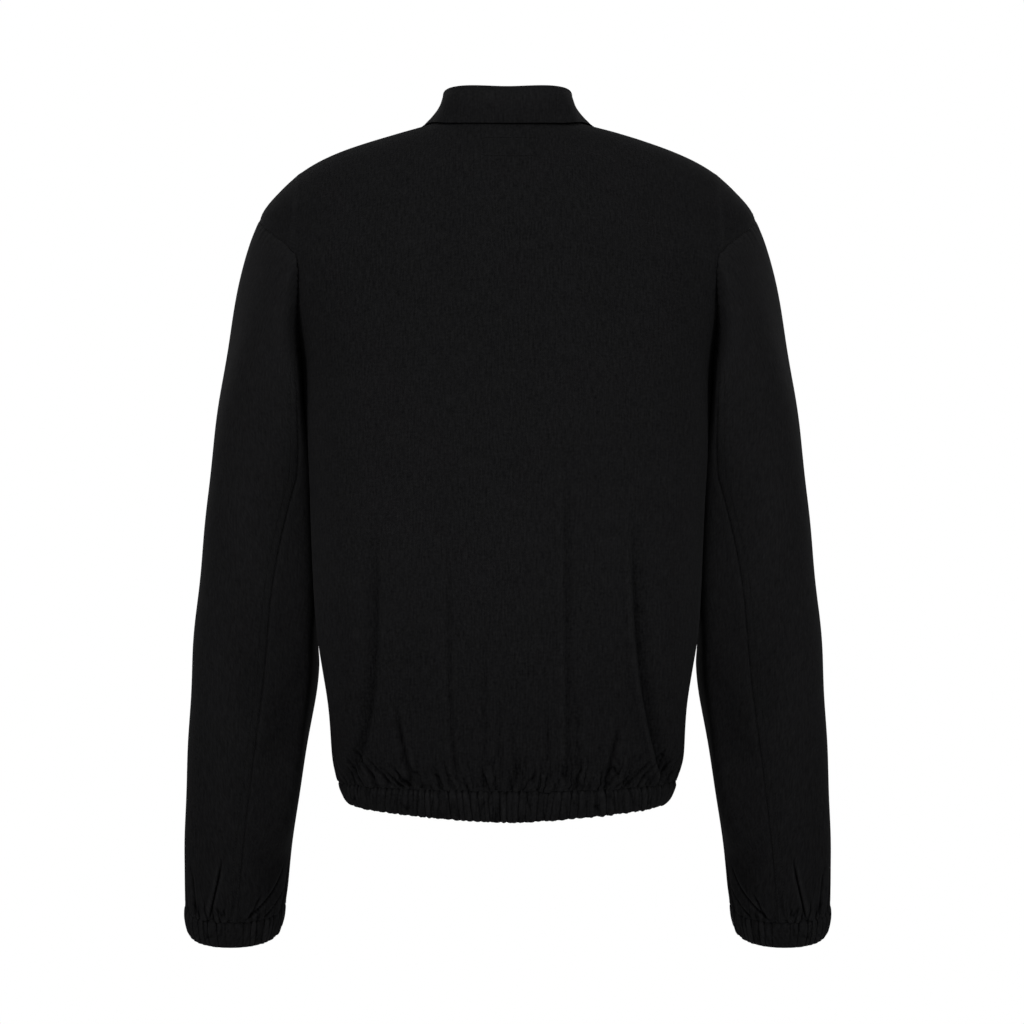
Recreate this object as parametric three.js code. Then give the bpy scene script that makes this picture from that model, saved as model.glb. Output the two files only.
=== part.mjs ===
// Coach jacket, worn shape with nobody in it: hollow cloth walls, seams, casings, collar and snaps.
//
// Millimetres, +Z up. The front faces -Y and the wearer's left side is +X. The origin is the middle
// of the neck at the height where the shoulder seams meet the neckline: the wearer holds it there.
//
// Every panel is a wall round a middle surface. The body's middle surface is one form, read by a
// turn (0 at the centre back, 90 at the left side, 180 at the centre front) and by a level (the
// height on the side line). Each sleeve is a cap that leaves the armhole and runs into rings.

import * as THREE from 'three';

// ---------------------------------------------------------------- driving dimensions

const CLOTH = 1.2;            // wall of one layer of shell cloth
const DOUBLE = 2.0;           // wall of a turned casing or of the collar
const SEAM = 0.4;             // gap left between two pieces along a flat seam
const ARMHOLE_SEAM = 1.6;     // how far each piece stops short of the armhole line, which is a corner
const NECK_LEVEL = 2;
const SHOULDER_LEVEL = -80;
const UNDERARM_LEVEL = -255;
const CASING_LEVEL = -582.5;  // seam between the body and the hem casing
const CASING_END = -603.5;
const BACK_NECK_DROP = 3;
const FRONT_NECK_DROP = 79;
const FRONT_NECK_SHAPE = 3.4; // power of the cosine that shapes the front neckline: higher is narrower
const NECK_DROP_FADES = -260; // rows at and below this level are level again
const DIP_STARTS = -400;
const SEAM_DIP = 2;           // the casing's seam is this much lower at the centre back
const HEM_DIP = 7.5;          // and the hem itself by this much
const LAP = 17;               // each front passes the centre front by this much
const LAP_STEP = 1.3;         // the left front lies this far out there, the right front as far in
const LAP_EASE = { none: 75, full: 30 };  // distances from the centre front
const CASING_LAP_STEP = 1.6;
const CASING_LAP_RADIUS = 100;
const SLEEVE_START = -314;    // where the cap has become a full ring
const SLEEVE_END = -712;      // seam between the sleeve and its cuff
const CUFF_END = -733;
const ROLL_RADIUS = 2.6;      // roll of the collar over its stand
const STAND_HOLLOW = 2;       // how far the stand curves in between the neck and the roll
const SNAP_RADIUS = 7.5;
const SNAP_HEIGHT = 2.6;
const SNAP_GAP = 0.3;         // from the cloth, where the cap's rim comes nearest to it
const SNAP_SIDES = 16;
const SNAP_START = 200;       // how far off the cloth a cap's place is looked for
const SNAP_COUNT = 6;
const FIRST_SNAP = -101;
const SNAP_STEP = -91.5;

// Cells across and down each kind of piece.
const ROWS = { yoke: 5, armhole: 9, body: 9, cap: 6, sleeve: 9 };
const COLUMNS = { back: 25, front: 11, band: 44, top: 11, under: 7, cuff: 22, collar: 32 };

// ---------------------------------------------------------------- tables

/** A table: named columns, and a row of numbers for each section, line or fold. */
function table(columns, rows) {
  return Object.fromEntries(columns.map((name, i) => [name, rows.map((row) => row[i])]));
}

// Sections of the body: half width, the Y of the back, of the widest line and of the front, and how
// square the back and the front halves are (2 is an ellipse).
const BODY = table(
  ['level', 'wide', 'back', 'mid', 'front', 'backSquare', 'frontSquare'],
  [
    [2, 74, 65, 0, -66, 2, 2],
    [-2, 88, 69, 0, -67.3, 2, 2],
    [-12.5, 126.5, 76, 0, -70.5, 2, 2],
    [-22.5, 154.5, 82, -1, -73.5, 2, 2],
    [-33, 177, 88, -2, -76.5, 2, 2],
    [-44, 193, 93, -3, -79.5, 2, 2],
    [-55, 204, 97, -4, -82, 2, 2],
    [-80, 223.5, 106, -4, -88, 2, 2],
    [-110, 222, 116, 4, -96.5, 2.2, 2],
    [-150, 200, 123, 16, -106, 2.4, 2],
    [-208, 181.6, 128, 26, -114, 2.6, 2],
    [-260, 178, 129, 30, -118, 2.7, 2],
    [-314, 174.6, 128, 32, -118, 2.7, 2],
    [-421, 170, 124, 32, -118, 2.7, 2],
    [-463, 166, 122, 30, -117, 2.7, 2],
    [-517, 158, 118, 26, -113, 2.6, 2],
    [-560, 155, 115, 22, -109, 2.5, 2],
    [-582.5, 150.3, 111.5, 18, -106, 2.4, 2],
    [-592, 148, 109.5, 18, -104, 2.3, 2],
    [-603.5, 138.5, 101, 18, -96, 2.2, 2],
  ],
);

// The armhole line, and the side seam under it: turns of the back's edge and of the front's edge.
const SIDE = table(
  ['level', 'backEdge', 'frontEdge'],
  [
    [-80, 90, 90],
    [-84, 83, 94],
    [-92, 77.5, 97.5],
    [-110, 72.5, 102],
    [-150, 77, 109],
    [-190, 85, 113],
    [-225, 93, 113.5],
    [-245, 98, 110],
    [-252, 101, 107],
    [-255, 104, 104],
  ],
);

// Rings of the left sleeve: centre, half width across, half depth, and how far the ring leans.
const SLEEVE = table(
  ['level', 'centreX', 'centreY', 'wide', 'deep', 'lean'],
  [
    [-314, 222, -25, 48, 74, 0],
    [-368, 225.3, -30, 51.8, 68, 2],
    [-423, 228.3, -35, 54.8, 65, 4],
    [-478.5, 230.8, -45, 58, 62, 7],
    [-534, 237.3, -55, 55.3, 60, 10],
    [-591, 244, -67, 52.9, 57, 12],
    [-648, 250, -79, 49.6, 54, 12],
    [-690, 253.2, -88, 47.4, 49, 12],
    [-712, 255.3, -92, 46.4, 44, 12],
    [-732, 256, -96, 43, 36, 20],
  ],
);
const SLEEVE_SQUARE = 2.2;
const ARMHOLE_STEPS = 36;
const CAP_PULL = 0.55;        // how strongly the cap keeps the direction in which it leaves the armhole
const CAP_LEAVES = {
  shoulder: new THREE.Vector3(0.5, 0, -0.87),
  underarm: new THREE.Vector3(0.95, 0, -0.3),
};
const CAP_SPREAD = 0.35;      // how much it also leaves backward at the back and forward at the front

// Sleeve seams, as angles round the ring: 0 outside, 90 back, 180 inside, 270 front.
const SLEEVE_SEAMS = table(
  ['level', 'back', 'front'],
  [
    [-255, 125, 240],
    [-314, 116, 244],
    [-423, 105, 250],
    [-591, 100, 258],
    [-712, 98, 262],
  ],
);

// The collar from the centre back (0) to its front end (1): the neck seam's turn, the fold's turn and
// height, the outer edge's turn and height, how far the edge stands off the body, and how far the
// fall swells between. The first row mirrors the third, so that the collar is smooth at the centre.
const COLLAR = table(
  ['along', 'neckTurn', 'foldTurn', 'foldZ', 'edgeTurn', 'edgeZ', 'lift', 'bulge'],
  [
    [-0.25, -43, -43, 33, -38, -5, 4.5, 3],
    [0, 0, 0, 30, 0, -5.5, 5, 5],
    [0.25, 43, 43, 33, 38, -5, 4.5, 3],
    [0.5, 86, 88, 28.5, 80, 0, 2.4, -3],
    [0.6, 103, 105, 22.5, 97, -2, 2.4, -4],
    [0.7, 120, 122, 13, 114, -12, 3.2, 0],
    [0.85, 146, 148, -20, 132, -55, 4, 2],
    [1, 172, 172, -50, 147, -115, 4, 2],
  ],
);
const FALL_STEPS = [0, 0.06, 0.125, 0.19, 0.25, 0.4, 0.6, 0.8, 1];  // cells over the roll, then down
const FOLD_PLAN = { wide: 54.5, back: 61, front: -79 };  // plan of the collar's fold line

// The largest folds: where each starts and ends across and up, how wide and how deep it is, and how
// late it swings over to its foot. A negative depth is a ridge.
const FOLDS = table(
  ['topX', 'topZ', 'footX', 'footZ', 'width', 'depth', 'swing'],
  [
    [110, -350, 124, -570, 20, 4.5, 3],
    [-54, -300, -57, -575, 20, 2.5, 2],
    [-113, -335, -130, -570, 20, 4.5, 2],
  ],
);

// ---------------------------------------------------------------- reading tables and curves

const radians = THREE.MathUtils.degToRad;

/** 0 below one end, 1 above the other, and a smooth rise between them. */
function ramp(from, to, at) {
  const part = THREE.MathUtils.clamp((at - from) / (to - from), 0, 1);
  return part * part * (3 - 2 * part);
}

/** One column of a table, on a monotone cubic along its first column. */
function read(rows, column, at) {
  const places = Object.values(rows)[0];
  const values = rows[column];
  const upward = places[1] > places[0] ? 1 : -1;
  const last = places.length - 2;
  let i = places.findIndex((place) => (place - at) * upward > 0) - 1;
  if (i === -2) i = last;
  i = THREE.MathUtils.clamp(i, 0, last);
  const step = (k) => places[k + 1] - places[k];
  const rise = (k) => (values[k + 1] - values[k]) / step(k);
  const slope = (k) => {
    if (k === 0) return rise(0);
    if (k === last + 1) return rise(last);
    return rise(k - 1) * rise(k) <= 0 ? 0 : (2 * rise(k - 1) * rise(k)) / (rise(k - 1) + rise(k));
  };
  const t = THREE.MathUtils.clamp((at - places[i]) / step(i), 0, 1);
  const hermite = [
    (1 + 2 * t) * (1 - t) ** 2, t * (1 - t) ** 2 * step(i), t * t * (3 - 2 * t), t * t * (t - 1) * step(i),
  ];
  return hermite[0] * values[i] + hermite[1] * slope(i)
    + hermite[2] * values[i + 1] + hermite[3] * slope(i + 1);
}

/** Distance from the centre of a superellipse, given its two half axes and its direction. */
function reach(across, along, halfAcross, halfAlong, square) {
  const sum = Math.abs(across / halfAcross) ** square + Math.abs(along / halfAlong) ** square;
  return sum ** (-1 / square);
}

/** Places that cut a curve into equal lengths, held back from its two ends. */
function equalSteps(curve, from, to, cells, holdStart, holdEnd) {
  const fine = 8 * cells;
  const places = Array.from({ length: fine + 1 }, (_, i) => from + ((to - from) * i) / fine);
  const points = places.map(curve);
  const lengths = [0];
  for (let i = 1; i <= fine; i += 1) lengths.push(lengths[i - 1] + points[i].distanceTo(points[i - 1]));
  const span = lengths[fine] - holdStart - holdEnd;
  return Array.from({ length: cells + 1 }, (_, k) => {
    const wanted = holdStart + (span * k) / cells;
    let i = lengths.findIndex((length) => length > wanted) - 1;
    if (i < 0) i = fine - 1;
    const part = (wanted - lengths[i]) / (lengths[i + 1] - lengths[i]);
    return places[i] + (places[i + 1] - places[i]) * part;
  });
}

// ---------------------------------------------------------------- the body's form

/** A point on the body's middle surface. */
function bodyForm(turn, level) {
  const across = Math.sin(radians(turn));
  const along = Math.cos(radians(turn));
  const half = along > 0 ? 'back' : 'front';
  const mid = read(BODY, 'mid', level);
  const depth = Math.abs(read(BODY, half, level) - mid);
  const far = reach(across, along, read(BODY, 'wide', level), depth, read(BODY, `${half}Square`, level));
  const drop = along > 0 ? BACK_NECK_DROP * along ** 2 : FRONT_NECK_DROP * (-along) ** FRONT_NECK_SHAPE;
  const dip = SEAM_DIP * ramp(DIP_STARTS, CASING_LEVEL, level)
    + (HEM_DIP - SEAM_DIP) * ramp(CASING_LEVEL, CASING_END, level);
  const height = level - drop * ramp(NECK_DROP_FADES, NECK_LEVEL, level) - dip * Math.max(along, 0) ** 2;
  return new THREE.Vector3(far * across, mid + far * along, height);
}

/** The outward direction of a surface of two values, from small steps both ways. */
function outward(surface, u, v, stepU, stepV) {
  const alongU = surface(u + stepU, v).sub(surface(u - stepU, v));
  const alongV = surface(u, v + stepV).sub(surface(u, v - stepV));
  return alongU.cross(alongV).normalize();
}

/** How far the largest folds move a point of the body, in (trough) or out (ridge). */
function foldDepth(point) {
  let depth = 0;
  for (let i = 0; i < FOLDS.topX.length; i += 1) {
    const part = (point.z - FOLDS.topZ[i]) / (FOLDS.footZ[i] - FOLDS.topZ[i]);
    const middle = FOLDS.topX[i] + (FOLDS.footX[i] - FOLDS.topX[i]) * Math.max(part, 0) ** FOLDS.swing[i];
    const aside = (point.x - middle) / FOLDS.width[i];
    const fade = ramp(0, 0.35, part) * ramp(1.08, 0.9, part);
    depth += FOLDS.depth[i] * Math.exp(-aside * aside) * fade;
  }
  return depth;
}

/** The rows of a body panel from the hem seam to the neck, evenly spaced along its side edge. */
function bodyLevels(edge) {
  const line = (level) => bodyForm(read(SIDE, edge, level), level);
  const stretches = [
    equalSteps(line, CASING_LEVEL, UNDERARM_LEVEL, ROWS.body, SEAM / 2, 0),
    equalSteps(line, UNDERARM_LEVEL, SHOULDER_LEVEL, ROWS.armhole, 0, 0),
    equalSteps(line, SHOULDER_LEVEL, NECK_LEVEL, ROWS.yoke, 0, 0),
  ];
  return [...stretches[0], ...stretches[1].slice(1), ...stretches[2].slice(1)];
}

/** How far a body panel stops short of its side edge at a level. */
function heldBack(level) {
  return level <= SHOULDER_LEVEL && level > UNDERARM_LEVEL ? ARMHOLE_SEAM : SEAM / 2;
}

// ---------------------------------------------------------------- walls

/**
 * A closed wall round a grid of points and outward directions. The grid's rows run one way round,
 * and wrapped rows join end to start, which gives a tube.
 */
function wall(grid, thickness, wrapped = false) {
  const rows = grid.length;
  const columns = grid[0].length;
  const positions = [];
  for (const offset of [thickness / 2, -thickness / 2]) {
    for (const row of grid) {
      for (const { point, normal } of row) positions.push(...point.clone().addScaledVector(normal, offset));
    }
  }
  const at = (layer, row, column) => (layer * rows + row) * columns + (column % columns);
  const faces = [];
  const quad = (a, b, c, d) => faces.push(a, b, c, a, c, d);
  const spans = wrapped ? columns : columns - 1;
  for (let i = 0; i < rows - 1; i += 1) {
    for (let j = 0; j < spans; j += 1) {
      quad(at(0, i, j), at(0, i, j + 1), at(0, i + 1, j + 1), at(0, i + 1, j));
      quad(at(1, i, j), at(1, i + 1, j), at(1, i + 1, j + 1), at(1, i, j + 1));
    }
  }
  for (let j = 0; j < spans; j += 1) {
    quad(at(1, 0, j), at(1, 0, j + 1), at(0, 0, j + 1), at(0, 0, j));
    quad(at(0, rows - 1, j), at(0, rows - 1, j + 1), at(1, rows - 1, j + 1), at(1, rows - 1, j));
  }
  if (!wrapped) {
    for (let i = 0; i < rows - 1; i += 1) {
      quad(at(0, i, 0), at(0, i + 1, 0), at(1, i + 1, 0), at(1, i, 0));
      quad(at(1, i, spans), at(1, i + 1, spans), at(0, i + 1, spans), at(0, i, spans));
    }
  }
  return closedGeometry(positions, faces);
}

/** A geometry from corners and faces, with the faces turned to point out. */
function closedGeometry(positions, faces) {
  const corner = (i) => new THREE.Vector3().fromArray(positions, 3 * i);
  let volume = 0;
  for (let i = 0; i < faces.length; i += 3) {
    volume += corner(faces[i]).dot(corner(faces[i + 1]).cross(corner(faces[i + 2])));
  }
  if (volume < 0) faces.reverse();
  const geometry = new THREE.BufferGeometry();
  geometry.setAttribute('position', new THREE.Float32BufferAttribute(positions, 3));
  geometry.setIndex(faces);
  geometry.computeVertexNormals();
  return geometry;
}

/** The same grid on the other side of the body. */
function mirrored(grid) {
  const flip = (vector) => new THREE.Vector3(-vector.x, vector.y, vector.z);
  return grid.map((row) => row.map(({ point, normal }) => ({ point: flip(point), normal: flip(normal) })));
}

// ---------------------------------------------------------------- body panels

/** One point of a body panel with its outward direction, moved by the folds and by the front lap. */
function clothPoint(turn, level, lapStep) {
  const point = bodyForm(turn, level);
  const normal = outward(bodyForm, turn, level, 0.5, 1).negate();
  const lapped = point.y < 0 ? lapStep * ramp(LAP_EASE.none, LAP_EASE.full, Math.abs(point.x)) : 0;
  point.addScaledVector(normal, lapped - (point.y > 0 ? foldDepth(point) : 0));
  return { point, normal };
}

function backPanel() {
  return bodyLevels('backEdge').map((level) => {
    const edge = read(SIDE, 'backEdge', level);
    const hold = heldBack(level);
    const turns = equalSteps((turn) => bodyForm(turn, level), -edge, edge, COLUMNS.back, hold, hold);
    return turns.map((turn) => clothPoint(turn, level, 0));
  });
}

/** The left front, from its side edge to the overlap past the centre front. */
function frontPanel(lapStep) {
  return bodyLevels('frontEdge').map((level) => {
    const edge = read(SIDE, 'frontEdge', level);
    const past = 180 + THREE.MathUtils.radToDeg(LAP / Math.abs(bodyForm(180, level).y));
    const curve = (turn) => bodyForm(turn, level);
    const turns = equalSteps(curve, edge, past, COLUMNS.front, heldBack(level), 0);
    return turns.map((turn) => clothPoint(turn, level, lapStep));
  });
}

/** The hem casing: a strip all round, lapped at the centre front. */
function hemBand() {
  const levels = [CASING_END, (CASING_END + CASING_LEVEL) / 2, CASING_LEVEL - SEAM / 2];
  const past = 180 + THREE.MathUtils.radToDeg(LAP / CASING_LAP_RADIUS);
  return levels.map((level) => {
    const turns = equalSteps((turn) => bodyForm(turn, level), -past, past, COLUMNS.band, 0, 0);
    return turns.map((turn) => clothPoint(turn, level, Math.sign(turn) * CASING_LAP_STEP));
  });
}

// ---------------------------------------------------------------- sleeves

/** A point on the left sleeve's ring at a level. */
function sleeveRing(angle, level) {
  const across = Math.cos(radians(angle));
  const along = Math.sin(radians(angle));
  const far = reach(across, along, read(SLEEVE, 'wide', level), read(SLEEVE, 'deep', level), SLEEVE_SQUARE);
  const lean = radians(read(SLEEVE, 'lean', level));
  return new THREE.Vector3(
    read(SLEEVE, 'centreX', level) + far * across,
    read(SLEEVE, 'centreY', level) + far * along * Math.cos(lean),
    level - far * along * Math.sin(lean),
  );
}

/** One edge of the armhole as evenly spaced points, from the shoulder to the underarm. */
function armholeEdge(column) {
  const curve = (level) => bodyForm(read(SIDE, column, level), level);
  return equalSteps(curve, SHOULDER_LEVEL, UNDERARM_LEVEL, ARMHOLE_STEPS, 0, 0).map(curve);
}

const armholeEdges = { back: armholeEdge('backEdge'), front: armholeEdge('frontEdge') };

/** The armhole line by angle: the back's edge from 0 to 180, the front's edge from 180 to 360. */
function armhole(angle) {
  const round = THREE.MathUtils.euclideanModulo(angle, 360);
  const points = round <= 180 ? armholeEdges.back : armholeEdges.front;
  const place = (ARMHOLE_STEPS * (round <= 180 ? round : 360 - round)) / 180;
  const i = Math.min(Math.floor(place), ARMHOLE_STEPS - 1);
  return points[i].clone().lerp(points[i + 1], place - i);
}

/**
 * A point on the cap: a cubic that leaves the armhole and runs down into the first ring. It leaves
 * steeply at the shoulder, and almost level under the arm, so that its inner wall clears the body.
 */
function sleeveCap(angle, part) {
  const start = armhole(angle);
  const end = sleeveRing(angle, SLEEVE_START);
  const under = 0.5 - 0.5 * Math.cos(radians(angle));
  const around = Math.sin(radians(angle));
  const length = start.distanceTo(end);
  const leave = CAP_LEAVES.shoulder.clone().lerp(CAP_LEAVES.underarm, under);
  leave.y += CAP_SPREAD * around;
  leave.normalize().multiplyScalar(CAP_PULL * length);
  const arrive = sleeveRing(angle, SLEEVE_START - 1).sub(end).normalize().multiplyScalar(length);
  const t = part;
  return start.multiplyScalar((1 + 2 * t) * (1 - t) ** 2)
    .addScaledVector(leave, t * (1 - t) ** 2)
    .addScaledVector(end, t * t * (3 - 2 * t))
    .addScaledVector(arrive, t * t * (t - 1));
}

/** The whole left sleeve by one value: 0 to 1 down the cap, then one more for each ring step. */
function sleeveForm(angle, down) {
  if (down <= 1) return sleeveCap(angle, down);
  return sleeveRing(angle, SLEEVE_START + (SLEEVE_END - SLEEVE_START) * (down - 1));
}

/** Rows of a sleeve piece between two seams, from the armhole to the cuff seam. */
function sleevePiece(columns, edges) {
  const grid = [];
  const rows = ROWS.cap + ROWS.sleeve;
  for (let i = 0; i <= rows; i += 1) {
    const down = i <= ROWS.cap ? i / ROWS.cap : 1 + (i - ROWS.cap) / ROWS.sleeve;
    const level = down <= 1 ? UNDERARM_LEVEL + (SLEEVE_START - UNDERARM_LEVEL) * down
      : SLEEVE_START + (SLEEVE_END - SLEEVE_START) * (down - 1);
    const [from, to] = edges(level);
    const held = (angle) => {
      const length = armhole(angle).distanceTo(sleeveRing(angle, SLEEVE_START));
      if (i === 0) return ARMHOLE_SEAM / (CAP_PULL * length);
      return i === rows ? down - SEAM / 2 / (SLEEVE_START - SLEEVE_END) : down;
    };
    const curve = (angle) => sleeveForm(angle, held(angle));
    const angles = equalSteps(curve, from, to, columns, SEAM / 2, SEAM / 2);
    grid.push(angles.map((angle) => ({
      point: curve(angle),
      normal: outward(sleeveForm, angle, Math.max(held(angle), 0.012), 0.5, 0.01).negate(),
    })));
  }
  return grid;
}

const topEdges = (level) => [read(SLEEVE_SEAMS, 'front', level) - 360, read(SLEEVE_SEAMS, 'back', level)];
const underEdges = (level) => [read(SLEEVE_SEAMS, 'back', level), read(SLEEVE_SEAMS, 'front', level)];

function cuff() {
  const levels = [SLEEVE_END - SEAM, (SLEEVE_END + CUFF_END) / 2, CUFF_END];
  return levels.map((level) => Array.from({ length: COLUMNS.cuff }, (_, j) => {
    const angle = (360 * j) / COLUMNS.cuff;
    return { point: sleeveRing(angle, level), normal: outward(sleeveRing, angle, level, 0.5, 1) };
  }));
}

// ---------------------------------------------------------------- collar

/** The height of a body point by turn, solved for its level. */
function levelAtHeight(turn, height) {
  let low = CASING_END;
  let high = NECK_LEVEL;
  for (let i = 0; i < 30; i += 1) {
    const middle = (low + high) / 2;
    if (bodyForm(turn, middle).z < height) low = middle;
    else high = middle;
  }
  return (low + high) / 2;
}

/** The fold line of the collar by place along it, from -1 (right end) to 1 (left end). */
function foldLine(along) {
  const turn = radians(read(COLLAR, 'foldTurn', Math.abs(along))) * Math.sign(along);
  const depth = Math.cos(turn) > 0 ? FOLD_PLAN.back : -FOLD_PLAN.front;
  const far = reach(Math.sin(turn), Math.cos(turn), FOLD_PLAN.wide, depth, 2);
  const height = read(COLLAR, 'foldZ', Math.abs(along));
  return new THREE.Vector3(far * Math.sin(turn), far * Math.cos(turn), height);
}

function neckLine(along) {
  return bodyForm(Math.sign(along) * read(COLLAR, 'neckTurn', Math.abs(along)), NECK_LEVEL);
}

/** The direction of a line at one place. */
function direction(line, along) {
  return line(along + 0.01).sub(line(along - 0.01)).normalize();
}

/** The fold line's point with the two directions that its roll turns in: level out, and up. */
function foldFrame(along) {
  const course = direction(foldLine, along);
  const out = new THREE.Vector3(-course.y, course.x, 0).normalize();
  if (out.dot(foldLine(along)) < 0) out.negate();
  const up = course.clone().cross(out);
  if (up.z < 0) up.negate();
  return { fold: foldLine(along), out, up };
}

/** Stand, by how far along and how far up, just clear of the body under it and of the roll over it. */
function standForm(along, part) {
  const { fold, out, up } = foldFrame(along);
  const top = fold.addScaledVector(out, -ROLL_RADIUS).addScaledVector(up, -ROLL_RADIUS - SEAM);
  const neck = neckLine(along);
  const course = direction(neckLine, along);
  const rise = top.clone().sub(neck);
  rise.addScaledVector(course, -rise.dot(course)).normalize();
  const lapped = LAP_STEP * ramp(0.85, 1, Math.abs(along));
  return neck.addScaledVector(rise, SEAM + CLOTH / 2 + lapped).lerp(top, part)
    .addScaledVector(out, -STAND_HOLLOW * Math.sin(Math.PI * part));
}

/** Fall, by how far along and how far over: the roll up to 0.25, then the drop to the edge. */
function fallForm(along, over) {
  const { fold, out, up } = foldFrame(along);
  const centre = fold.addScaledVector(up, -ROLL_RADIUS);
  if (over <= 0.25) {
    const angle = Math.PI * (1 - over / 0.25);
    return centre.addScaledVector(out, ROLL_RADIUS * Math.cos(angle))
      .addScaledVector(up, ROLL_RADIUS * Math.sin(angle));
  }
  const column = (name) => read(COLLAR, name, Math.abs(along));
  const edgeTurn = Math.sign(along) * column('edgeTurn');
  const edgeLevel = levelAtHeight(edgeTurn, column('edgeZ'));
  const off = outward(bodyForm, edgeTurn, edgeLevel, 0.5, 1).negate();
  const edge = bodyForm(edgeTurn, edgeLevel).addScaledVector(off, column('lift'));
  const part = (over - 0.25) / 0.75;
  return centre.addScaledVector(out, ROLL_RADIUS).lerp(edge, part)
    .addScaledVector(out, column('bulge') * Math.sin(Math.PI * part ** 0.7));
}

/** A grid of one collar piece: its two long edges are square to the level direction at the fold. */
function collarGrid(form, steps, square) {
  return steps.map((over) => Array.from({ length: COLUMNS.collar + 1 }, (_, j) => {
    const along = -1 + (2 * j) / COLUMNS.collar;
    const near = THREE.MathUtils.clamp(along, -0.985, 0.985);
    const inner = THREE.MathUtils.clamp(over, 0.02, 0.98);
    const normal = outward(form, near, inner, 0.01, 0.01);
    const { out } = foldFrame(near);
    if (over === square.at) normal.copy(out.multiplyScalar(square.sign));
    return { point: form(along, over), normal };
  }));
}

// ---------------------------------------------------------------- snaps

/** A domed cap on the centre line of a front panel, its flat back just clear of the cloth all round. */
function snapCap(panel, height) {
  const before = new THREE.Vector3(0, -2 * SNAP_START, height);
  const ray = new THREE.Raycaster(before, new THREE.Vector3(0, 1, 0));
  const { point, face } = ray.intersectObject(panel)[0];
  const turn = new THREE.Quaternion().setFromUnitVectors(new THREE.Vector3(0, 1, 0), face.normal);
  const rises = Array.from({ length: SNAP_SIDES }, (_, i) => {
    const angle = (2 * Math.PI * i) / SNAP_SIDES;
    const rim = new THREE.Vector3(SNAP_RADIUS * Math.cos(angle), SNAP_START, SNAP_RADIUS * Math.sin(angle));
    ray.set(rim.applyQuaternion(turn).add(point), face.normal.clone().negate());
    return SNAP_START - ray.intersectObject(panel)[0].distance;
  });
  const seat = point.addScaledVector(face.normal, SNAP_GAP + Math.max(0, ...rises));
  const profile = [
    [0, 0], [SNAP_RADIUS, 0], [SNAP_RADIUS, 0.35 * SNAP_HEIGHT], [0.8 * SNAP_RADIUS, 0.8 * SNAP_HEIGHT],
    [0.4 * SNAP_RADIUS, SNAP_HEIGHT], [0, SNAP_HEIGHT],
  ].map(([x, y]) => new THREE.Vector2(x, y));
  const geometry = new THREE.LatheGeometry(profile, SNAP_SIDES);
  return geometry.applyQuaternion(turn).translate(seat.x, seat.y, seat.z);
}

// ---------------------------------------------------------------- the jacket

const twill = { color: 0x161617, roughness: 0.88, metalness: 0 };
const enamel = { color: 0x101011, roughness: 0.35, metalness: 0.1 };
const jacket = new THREE.Group();

function addPiece(name, geometry, finish = twill) {
  const mesh = new THREE.Mesh(geometry, new THREE.MeshStandardMaterial(finish));
  mesh.name = name;
  jacket.add(mesh);
  return mesh;
}

addPiece('back', wall(backPanel(), CLOTH));
const frontLeft = addPiece('front_left', wall(frontPanel(LAP_STEP), CLOTH));
addPiece('front_right', wall(mirrored(frontPanel(-LAP_STEP)), CLOTH));
addPiece('hem_band', wall(hemBand(), DOUBLE));
for (const [side, place] of [['left', (grid) => grid], ['right', mirrored]]) {
  addPiece(`sleeve_${side}_top`, wall(place(sleevePiece(COLUMNS.top, topEdges)), CLOTH));
  addPiece(`sleeve_${side}_under`, wall(place(sleevePiece(COLUMNS.under, underEdges)), CLOTH));
  addPiece(`cuff_${side}`, wall(place(cuff()), DOUBLE, true));
}
addPiece('collar_stand', wall(collarGrid(standForm, [0, 0.5, 1], { at: 1, sign: 1 }), DOUBLE));
addPiece('collar_fall', wall(collarGrid(fallForm, FALL_STEPS, { at: 0, sign: -1 }), DOUBLE));
for (let i = 0; i < SNAP_COUNT; i += 1) {
  addPiece(`snap_${i + 1}`, snapCap(frontLeft, FIRST_SNAP + i * SNAP_STEP), enamel);
}

export default jacket;
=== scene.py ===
"""Coach jacket in near-black twill, filled out as worn with nobody in it, seen from behind.

Shapes are worked out in millimetres on the frame's axes: +Z up, the front towards -Y, the wearer's
left towards +X. They become metres when a mesh is made. Every sheet of cloth is a middle surface on
a grid of two parameters, moved along its outward directions by creases and seams, with a wall round it.
"""
import copy
import bpy
import numpy as np
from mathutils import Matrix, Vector


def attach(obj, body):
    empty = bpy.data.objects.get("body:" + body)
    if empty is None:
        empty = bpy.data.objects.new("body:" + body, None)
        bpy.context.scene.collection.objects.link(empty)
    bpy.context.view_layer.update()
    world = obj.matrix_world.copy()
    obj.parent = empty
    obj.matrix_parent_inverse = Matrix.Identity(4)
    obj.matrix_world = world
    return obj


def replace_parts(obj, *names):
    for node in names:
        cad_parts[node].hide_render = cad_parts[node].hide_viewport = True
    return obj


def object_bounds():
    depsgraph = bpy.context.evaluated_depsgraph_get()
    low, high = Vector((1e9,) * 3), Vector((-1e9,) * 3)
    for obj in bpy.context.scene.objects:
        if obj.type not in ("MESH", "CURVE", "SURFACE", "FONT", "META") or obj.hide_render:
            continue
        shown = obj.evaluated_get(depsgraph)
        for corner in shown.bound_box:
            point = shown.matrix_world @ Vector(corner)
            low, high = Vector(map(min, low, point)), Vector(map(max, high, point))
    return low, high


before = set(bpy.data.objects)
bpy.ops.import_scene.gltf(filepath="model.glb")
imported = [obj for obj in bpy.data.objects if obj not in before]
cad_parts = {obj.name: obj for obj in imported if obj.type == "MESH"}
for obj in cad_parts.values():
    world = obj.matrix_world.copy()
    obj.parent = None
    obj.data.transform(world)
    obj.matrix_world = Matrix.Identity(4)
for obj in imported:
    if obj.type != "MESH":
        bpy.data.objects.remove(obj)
cad_low, cad_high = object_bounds()
MM = 0.001

# ---------------------------------------------------------------- camera and lights

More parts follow.
